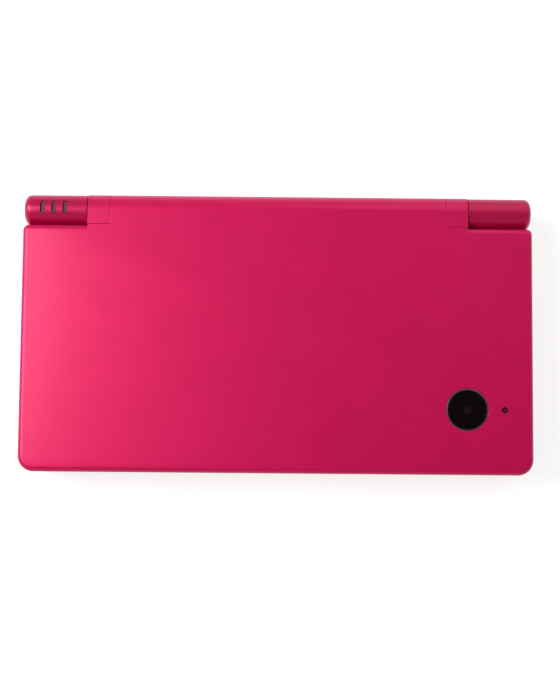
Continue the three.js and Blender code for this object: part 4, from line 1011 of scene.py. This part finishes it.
def volume_rocker():
    """A bar whose outer face has a dip for the finger."""
    low, high = box("volume_rocker")
    length = high.y - low.y
    y = centre(low, high)[1]
    dip = upright(length, low.x - length + ROCKER_DIP, y, low.z - OVERRUN, high.z + OVERRUN, ROCKER_SIDES)
    return carve(plate("volume_rocker"), [dip])


def trigger(side):
    """A piece of the rear corner's wall, with an ear on the pin."""
    space = block(TRIGGER_INNER_X, HALF_WIDTH + OVERRUN, BASE_REAR_Y - TRIGGER_SIDE, REAR_Y,
                  TRIGGER_LOW.z, TRIGGER_HIGH.z)
    outside = straight(PLAN, 0, TRIGGER_LOW.z, TRIGGER_HIGH.z)
    inside = straight(PLAN, TRIGGER_THICKNESS, TRIGGER_LOW.z - OVERRUN, TRIGGER_HIGH.z + OVERRUN)
    wall = common(carve(outside, [inside]), space)
    low, high = TRIGGER_LOW.z + OVERRUN, TRIGGER_EAR_TOP
    ear = upright(TRIGGER_EAR_RADIUS, TRIGGER_INNER_X, TRIGGER_PIVOT_Y, low, high)
    web = block(TRIGGER_INNER_X + TRIGGER_WEB[0], TRIGGER_INNER_X + TRIGGER_WEB[1], TRIGGER_PIVOT_Y,
                BASE_REAR_Y - OVERRUN, low, high)
    bore = upright(TRIGGER_PIN_RADIUS + PART_GAP, TRIGGER_INNER_X, TRIGGER_PIVOT_Y,
                   low - OVERRUN, high + OVERRUN)
    piece = carve(unite([wall, ear, web]), [bore])
    return piece if side > 0 else mirrored(piece)


def stylus():
    tip, end = STYLUS_LOW.x, STYLUS_HIGH.x
    profile = [
        *[(radius, tip + away) for radius, away in STYLUS_TIP],
        *[(radius, end - away) for radius, away in STYLUS_END],
        *[(STYLUS_RADIUS - STYLUS_EDGE * near, end - STYLUS_EDGE * far) for near, far in quarter_turn(1)],
    ]
    return turned_along_x(profile, STYLUS_Y, STYLUS_Z, STYLUS_SIDES)


def memory_card_door():
    """A leaf on its round pivot, with a notch for the nail."""
    low, high = box("memory_card_door")
    half = (high.x - low.x) / 2
    leaf = block(low.x, high.x, low.y, high.y - half, low.z, high.z)
    pivot = upright(half, high.x - half, high.y - half, low.z, high.z)
    nail = block(high.x - NAIL_DEPTH, high.x + OVERRUN, low.y + NAIL_ENDS[0], low.y + NAIL_ENDS[1],
                 low.z + NAIL_INSET, high.z - NAIL_INSET)
    return carve(unite([leaf, pivot]), [nail])


def foot(node):
    low, high = box(node)
    x, y = centre(low, high)
    radius = high.x - x
    profile = [(radius - FOOT_EDGE * far, low.z + FOOT_EDGE * near) for near, far in quarter_turn()]
    return turned([*profile, (radius, high.z)], x, y)


def light_windows():
    """The three windows on one bar inside the barrel."""
    half_depth, half_height = LIGHT_BAR_HALF
    bar = block(LIGHT_XS[0] - LIGHT_WIDTH, LIGHT_XS[2] + LIGHT_WIDTH, -half_depth, half_depth,
                -half_height, half_height)
    prongs = [light_body(x, -FINE_GAP, 0, BARREL_RADIUS - LIGHT_INSET) for x in LIGHT_XS]
    return unite([place(bar, LIGHT_PLACE), *prongs])


# Lid

SPEAKER_HOLE = 0.65
SPEAKER_CIRCLE = 3.4
SPEAKER_HOLES = 6
KNUCKLE_SEAM = 0.07
INNER_CAMERA_HOLE = 2.2
MICROPHONE_HOLE = 0.5
INDICATOR_RADIUS = 0.85
RING_LIP = 0.12
RING_SEAT = 0.9
WINDOW_CHAMFER = 0.06
WINDOW_RADIUS = WINDOW_HIGH.x - CAMERA_X


def lid_body():
    main = stack(LID_PLAN, levels(LID_Z, TOP_Z, RIM_EDGE, LID_EDGE))
    barrel = axle(HINGE_RADIUS, KNUCKLE_OUTER_X, BARREL_SIDES)
    bridge = block(-KNUCKLE_OUTER_X, KNUCKLE_OUTER_X, LID_REAR_Y - 2 * LID_EDGE, HINGE_Y,
                   LID_Z + RIM_EDGE, TOP_Z)
    return unite([main, barrel, bridge])


def lid_hollow():
    main = straight(LID_PLAN, LID_WALL, LID_FACE_TOP_Z, LID_ROOF_Z)
    end = KNUCKLE_INNER_X - SEAM_GAP - HINGE_WALL
    barrel = axle(HINGE_RADIUS - HINGE_WALL, end)
    bridge = block(-end, end, LID_REAR_Y - 2 * LID_WALL, HINGE_Y, LID_FACE_TOP_Z, LID_ROOF_Z)
    return unite([main, barrel, bridge])


def lid_slice(z0, z1):
    """The hollow lid between two heights."""
    wide, deep = 2 * HALF_WIDTH, 2 * REAR_Y
    return common(carve(lid_body(), [lid_hollow()]), block(-wide, wide, -deep, deep, z0, z1))


def knuckle_zone(side, margin):
    ends = sorted((side * (KNUCKLE_INNER_X - margin), side * (KNUCKLE_OUTER_X + margin)))
    return block(*ends, LID_REAR_Y + PART_GAP - margin, REAR_Y + OVERRUN,
                 HINGE_Z - HINGE_RADIUS - OVERRUN, TOP_Z + OVERRUN)


def outer_cover():
    return carve(lid_slice(COVER_Z, 2 * TOP_Z), [
        knuckle_zone(-1, KNUCKLE_SEAM),
        knuckle_zone(1, KNUCKLE_SEAM),
        axle(KNUCKLE_BORE, HALF_WIDTH),
        upright(RING_RADIUS + FINE_GAP, CAMERA_X, CAMERA_Y, COVER_Z, TOP_Z + OVERRUN, ROUND_SIDES),
        rod_at("indicator_light_guide", INDICATOR_RADIUS, COVER_Z, TOP_Z + OVERRUN),
    ])


def speaker_holes(node):
    at = middle(node)
    places = [(at.x, at.y)]
    for number in range(SPEAKER_HOLES):
        angle = 2 * math.pi * number / SPEAKER_HOLES
        places.append((at.x + SPEAKER_CIRCLE * math.cos(angle), at.y + SPEAKER_CIRCLE * math.sin(angle)))
    ends = (LID_FACE_Z - OVERRUN, LID_FACE_TOP_Z + OVERRUN)
    return [upright(SPEAKER_HOLE, x, y, *ends, HOLE_SIDES) for x, y in places]


def inner_frame():
    knuckles = [common(lid_body(), knuckle_zone(side, 0)) for side in (-1, 1)]
    barrel_low = HINGE_Z - HINGE_RADIUS - OVERRUN
    return carve(unite([lid_slice(0, FRAME_TOP_Z), *knuckles]), [
        straight(DECK_PLAN, RIM_WIDTH, LID_Z - OVERRUN, LID_FACE_Z),
        hole("upper_display_lens", FINE_GAP, LID_FACE_Z - OVERRUN, LENS_HIGH.z),
        hole("upper_display", -PART_GAP / 2, LID_FACE_Z, LID_FACE_TOP_Z + OVERRUN),
        axle(KNUCKLE_BORE, HALF_WIDTH),
        rod_at("inner_camera", INNER_CAMERA_HOLE, barrel_low, HINGE_Z),
        rod_at("microphone", MICROPHONE_HOLE, barrel_low, HINGE_Z, HOLE_SIDES),
        *speaker_holes("speaker_left"),
        *speaker_holes("speaker_right"),
    ])


def camera_ring_body():
    """A thin ring with a bright round lip and the seat of the window."""
    low, top = RING_LOW.z, RING_HIGH.z
    ring = turned([
        (RING_RADIUS, low), (RING_RADIUS, top - RING_LIP),
        (RING_RADIUS - RING_LIP / 3, top - RING_LIP / 3), (RING_RADIUS - RING_LIP, top),
    ], CAMERA_X, CAMERA_Y)
    return carve(ring, [
        upright(WINDOW_RADIUS + PART_GAP / 6, CAMERA_X, CAMERA_Y, WINDOW_LOW.z, top + OVERRUN, ROUND_SIDES),
        upright(WINDOW_RADIUS - RING_SEAT, CAMERA_X, CAMERA_Y, low - OVERRUN, top, ROUND_SIDES),
    ])


def camera_window():
    """A flat window with a fine chamfer."""
    top = WINDOW_HIGH.z
    return turned([
        (WINDOW_RADIUS, WINDOW_LOW.z), (WINDOW_RADIUS, top - WINDOW_CHAMFER),
        (WINDOW_RADIUS - WINDOW_CHAMFER, top),
    ], CAMERA_X, CAMERA_Y)


def make_base():
    # The base pieces take the darker pink, which is painted shade
    dress(lower_shell(), "base_lower_shell", "shell_pink", SHADE_PAINTED_PINK, bevel=SHELL_BEVEL)
    dress(upper_shell(), "base_upper_shell", "inner_pink", SHADE_PAINTED_PINK, bevel=SHELL_BEVEL)
    dress(battery_cover(), "battery_cover", "shell_pink", SHADE_PAINTED_PINK)
    for node in SCREW_NODES:
        dress(screw(node, SCREW_HEAD_HEIGHT), node, "steel", bevel=0.03)
    for node in COVER_SCREW_NODES:
        dress(screw(node, COVER_SCREW_HEAD_HEIGHT), node, "steel", bevel=0.02)
    for node in FOOT_NODES:
        dress(foot(node), node, "foot_rubber", bevel=0)
    dress(light_windows(), "status_light_guide", "light_guide", bevel=0.05)
    dress(plate("touch_panel"), "touch_panel", "screen_glass", bevel=0.08)


def make_controls():
    for node in FACE_BUTTONS:
        dress(push_button(node), node, "button_pink", bevel=0)
    for node in SMALL_BUTTONS:
        dress(push_button(node, crown=0.15, edge=0.3), node, "button_pink", bevel=0)
    dress(direction_pad(), "direction_pad", "button_pink", bevel=0.08)
    # The rocker, triggers, stylus and door take the darker pink too, which is painted shade
    dress(volume_rocker(), "volume_rocker", "button_pink", SMALL_SHADE_PAINTED_PINK, bevel=0.25, segments=4)
    for side, node in ((-1, "left_trigger"), (1, "right_trigger")):
        dress(trigger(side), node, "button_pink", SHADE_PAINTED_PINK, bevel=0.15, segments=3)
    dress(stylus(), "stylus", "button_pink", SMALL_SHADE_PAINTED_PINK, bevel=0)
    dress(memory_card_door(), "memory_card_door", "shell_pink", SHADE_PAINTED_PINK, bevel=0.12)


def make_lid():
    dress(outer_cover(), "lid_outer_cover", "shell_pink")
    dress(inner_frame(), "lid_inner_frame", "inner_pink")
    dress(plate("upper_display_lens"), "upper_display_lens", "screen_glass", bevel=0.15)
    dress(camera_ring_body(), "outer_camera_ring", "camera_ring", bevel=0.03)
    dress(camera_window(), "outer_camera_window", "screen_glass", CAMERA_GLASS, bevel=0)


def paint_the_rest():
    """Nodes that stay as they are take the material of their slot in the record."""
    slots = {
        "display": ["lower_display", "upper_display", "inner_camera"],
        "steel": ["wireless_board", "memory_card_socket", "charge_port", "hinge_click_unit", "microphone"],
        "board": ["main_board"], "battery": ["battery_pack"], "flex": ["display_flex"],
        "pad_rubber": ["button_membrane", "pad_rubber"], "grey_plastic": ["stylus_tube", "hinge_bush"],
        "light_guide": ["indicator_light_guide"],
    }
    of_node = {node: slot for slot, nodes in slots.items() for node in nodes}
    for name, node in frame["nodes"].items():
        slot = of_node.get(name, "dark_plastic")
        node.data.materials.clear()
        node.data.materials.append(INDICATOR_GUIDE if name == "indicator_light_guide" else MATERIALS[slot])


def any_ray(tree, kinds):
    """A share that is 1 for the named kinds of ray."""
    path = tree.nodes.new("ShaderNodeLightPath")
    seen = path.outputs[kinds[0]]
    for kind in kinds[1:]:
        seen = calculated(tree, "MAXIMUM", seen, path.outputs[kind])
    return seen


def choose(tree, share, first, second):
    """The first shader where the share is 0, the second where it is 1."""
    return added(tree, "MixShader", {"Fac": share, 1: first, 2: second}).outputs["Shader"]


# Stage
FLOOR_REACH = 6.0  # metres
FLOOR_GREY = (0.7, 0.7, 0.7, 1)
FLOOR_SEEN_GREY = (0.4, 0.4, 0.4, 1)
FLOOR_GLOW_FROM = (200, 700)  # distances between which the floor's glow rises
FLOOR_GLOW = (0.78, 0.95)
SKY_FROM = (0.1, 0.95)  # heights, 1 straight up, between which the sky's light changes
NEAR_CLIP = 0.01  # metres


def make_floor():
    """White where it is seen, with the object's shadow; from below it is clear, so the underside shows."""
    corners = rectangle(-FLOOR_REACH, FLOOR_REACH, -FLOOR_REACH, FLOOR_REACH, 0)
    mesh = bpy.data.meshes.new("floor")
    mesh.from_pydata(corners, [], [(0, 1, 2, 3)])
    floor = linked("floor", mesh)
    material, tree = blank("floor")
    grey = {"Base Color": FLOOR_GREY, "Roughness": 0.9, "Specular IOR Level": 0}
    shader = feed(tree, tree.nodes["Principled BSDF"], grey)
    level = spread(tree, from_axis(tree, 0, 0), *FLOOR_GLOW_FROM, *FLOOR_GLOW)
    glow = added(tree, "Emission", {"Strength": level}).outputs["Emission"]
    pale = added(tree, "BsdfDiffuse", {"Color": FLOOR_SEEN_GREY}).outputs["BSDF"]
    both = added(tree, "AddShader", {0: glow, 1: pale}).outputs["Shader"]
    clear = tree.nodes.new("ShaderNodeBsdfTransparent").outputs["BSDF"]
    behind = tree.nodes.new("ShaderNodeNewGeometry").outputs["Backfacing"]
    seen = any_ray(tree, ["Is Camera Ray", "Is Glossy Ray", "Is Transmission Ray"])
    shown = choose(tree, seen, shader.outputs["BSDF"], both)
    lit_through = choose(tree, any_ray(tree, ["Is Shadow Ray"]), shown, clear)
    feed(tree, tree.nodes["Material Output"], {"Surface": choose(tree, behind, lit_through, clear)})
    mesh.materials.append(material)


def sky(tree, horizon, zenith):
    """Light that falls from the horizon's level to the zenith's."""
    where = tree.nodes.new("ShaderNodeTexCoord").outputs["Generated"]
    height = added(tree, "SeparateXYZ", {"Vector": where}).outputs["Z"]
    level = spread(tree, height, *SKY_FROM, horizon, zenith)
    return added(tree, "Background", {"Strength": level}).outputs["Background"]


def make_world():
    world = bpy.data.worlds.new("studio")
    world.use_nodes = True
    tree = world.node_tree
    white = feed(tree, tree.nodes["Background"], {"Color": (1, 1, 1, 1), "Strength": 1})
    mirrored_rays = any_ray(tree, ["Is Glossy Ray", "Is Transmission Ray"])
    around = choose(tree, mirrored_rays, sky(tree, 0.5, 0.2), sky(tree, 1, 0.12))
    shown = choose(tree, any_ray(tree, ["Is Camera Ray"]), around, white.outputs["Background"])
    tree.links.new(shown, tree.nodes["World Output"].inputs["Surface"])
    bpy.context.scene.world = world


def area_light(name, place_mm, aim_mm, size_mm, watts):
    data = bpy.data.lights.new(name, "AREA")
    data.shape = "RECTANGLE"
    data.size = size_mm[0] * MM
    data.size_y = size_mm[1] * MM
    data.energy = watts
    lamp = linked(name, data)
    lamp.location = Vector(place_mm) * MM
    lamp.visible_camera = False
    lamp.rotation_mode = "QUATERNION"
    lamp.rotation_quaternion = (Vector(aim_mm) - Vector(place_mm)).normalized().to_track_quat("-Z", "Y")


def make_lights():
    area_light("key", (-332, 80, 430), (0, 0, 10), (260, 360), 2.6)
    area_light("fill", (260, 380, 420), (0, 0, 10), (500, 500), 0.8)
    area_light("below", (0, 0, -400), (0, 0, 0), (500, 500), 1.6)


# Camera: where the photograph was taken from, found from the corners of the lid and of the barrels
CAMERA_PLACE = (-0.62, -34.06, 368.0)
CAMERA_YAW = math.radians(2.907)
CAMERA_PITCH = math.radians(85.18)
CAMERA_ROLL = math.radians(3.425)
FOCAL_PX = 1315.2
LONG_SIDE_PX = 700
SENSOR = 36.0


def make_camera():
    data = bpy.data.cameras.new("camera")
    data.sensor_width = SENSOR
    data.lens = FOCAL_PX / LONG_SIDE_PX * SENSOR
    data.clip_start = NEAR_CLIP
    camera = linked("camera", data)
    forward = Vector((math.sin(CAMERA_YAW) * math.cos(CAMERA_PITCH),
                      math.cos(CAMERA_YAW) * math.cos(CAMERA_PITCH), -math.sin(CAMERA_PITCH)))
    right = Vector((math.cos(CAMERA_YAW), -math.sin(CAMERA_YAW), 0))
    up = right.cross(forward)
    across = math.cos(CAMERA_ROLL) * right + math.sin(CAMERA_ROLL) * up
    above = math.cos(CAMERA_ROLL) * up - math.sin(CAMERA_ROLL) * right
    turn = Matrix((across, above, -forward)).transposed().to_4x4()
    camera.matrix_world = Matrix.Translation(Vector(CAMERA_PLACE) * MM) @ turn
    bpy.context.scene.camera = camera


bpy.context.scene.view_settings.view_transform = "Standard"
make_camera()
paint_the_rest()
make_base()
make_controls()
make_lid()
make_floor()
make_world()
make_lights()
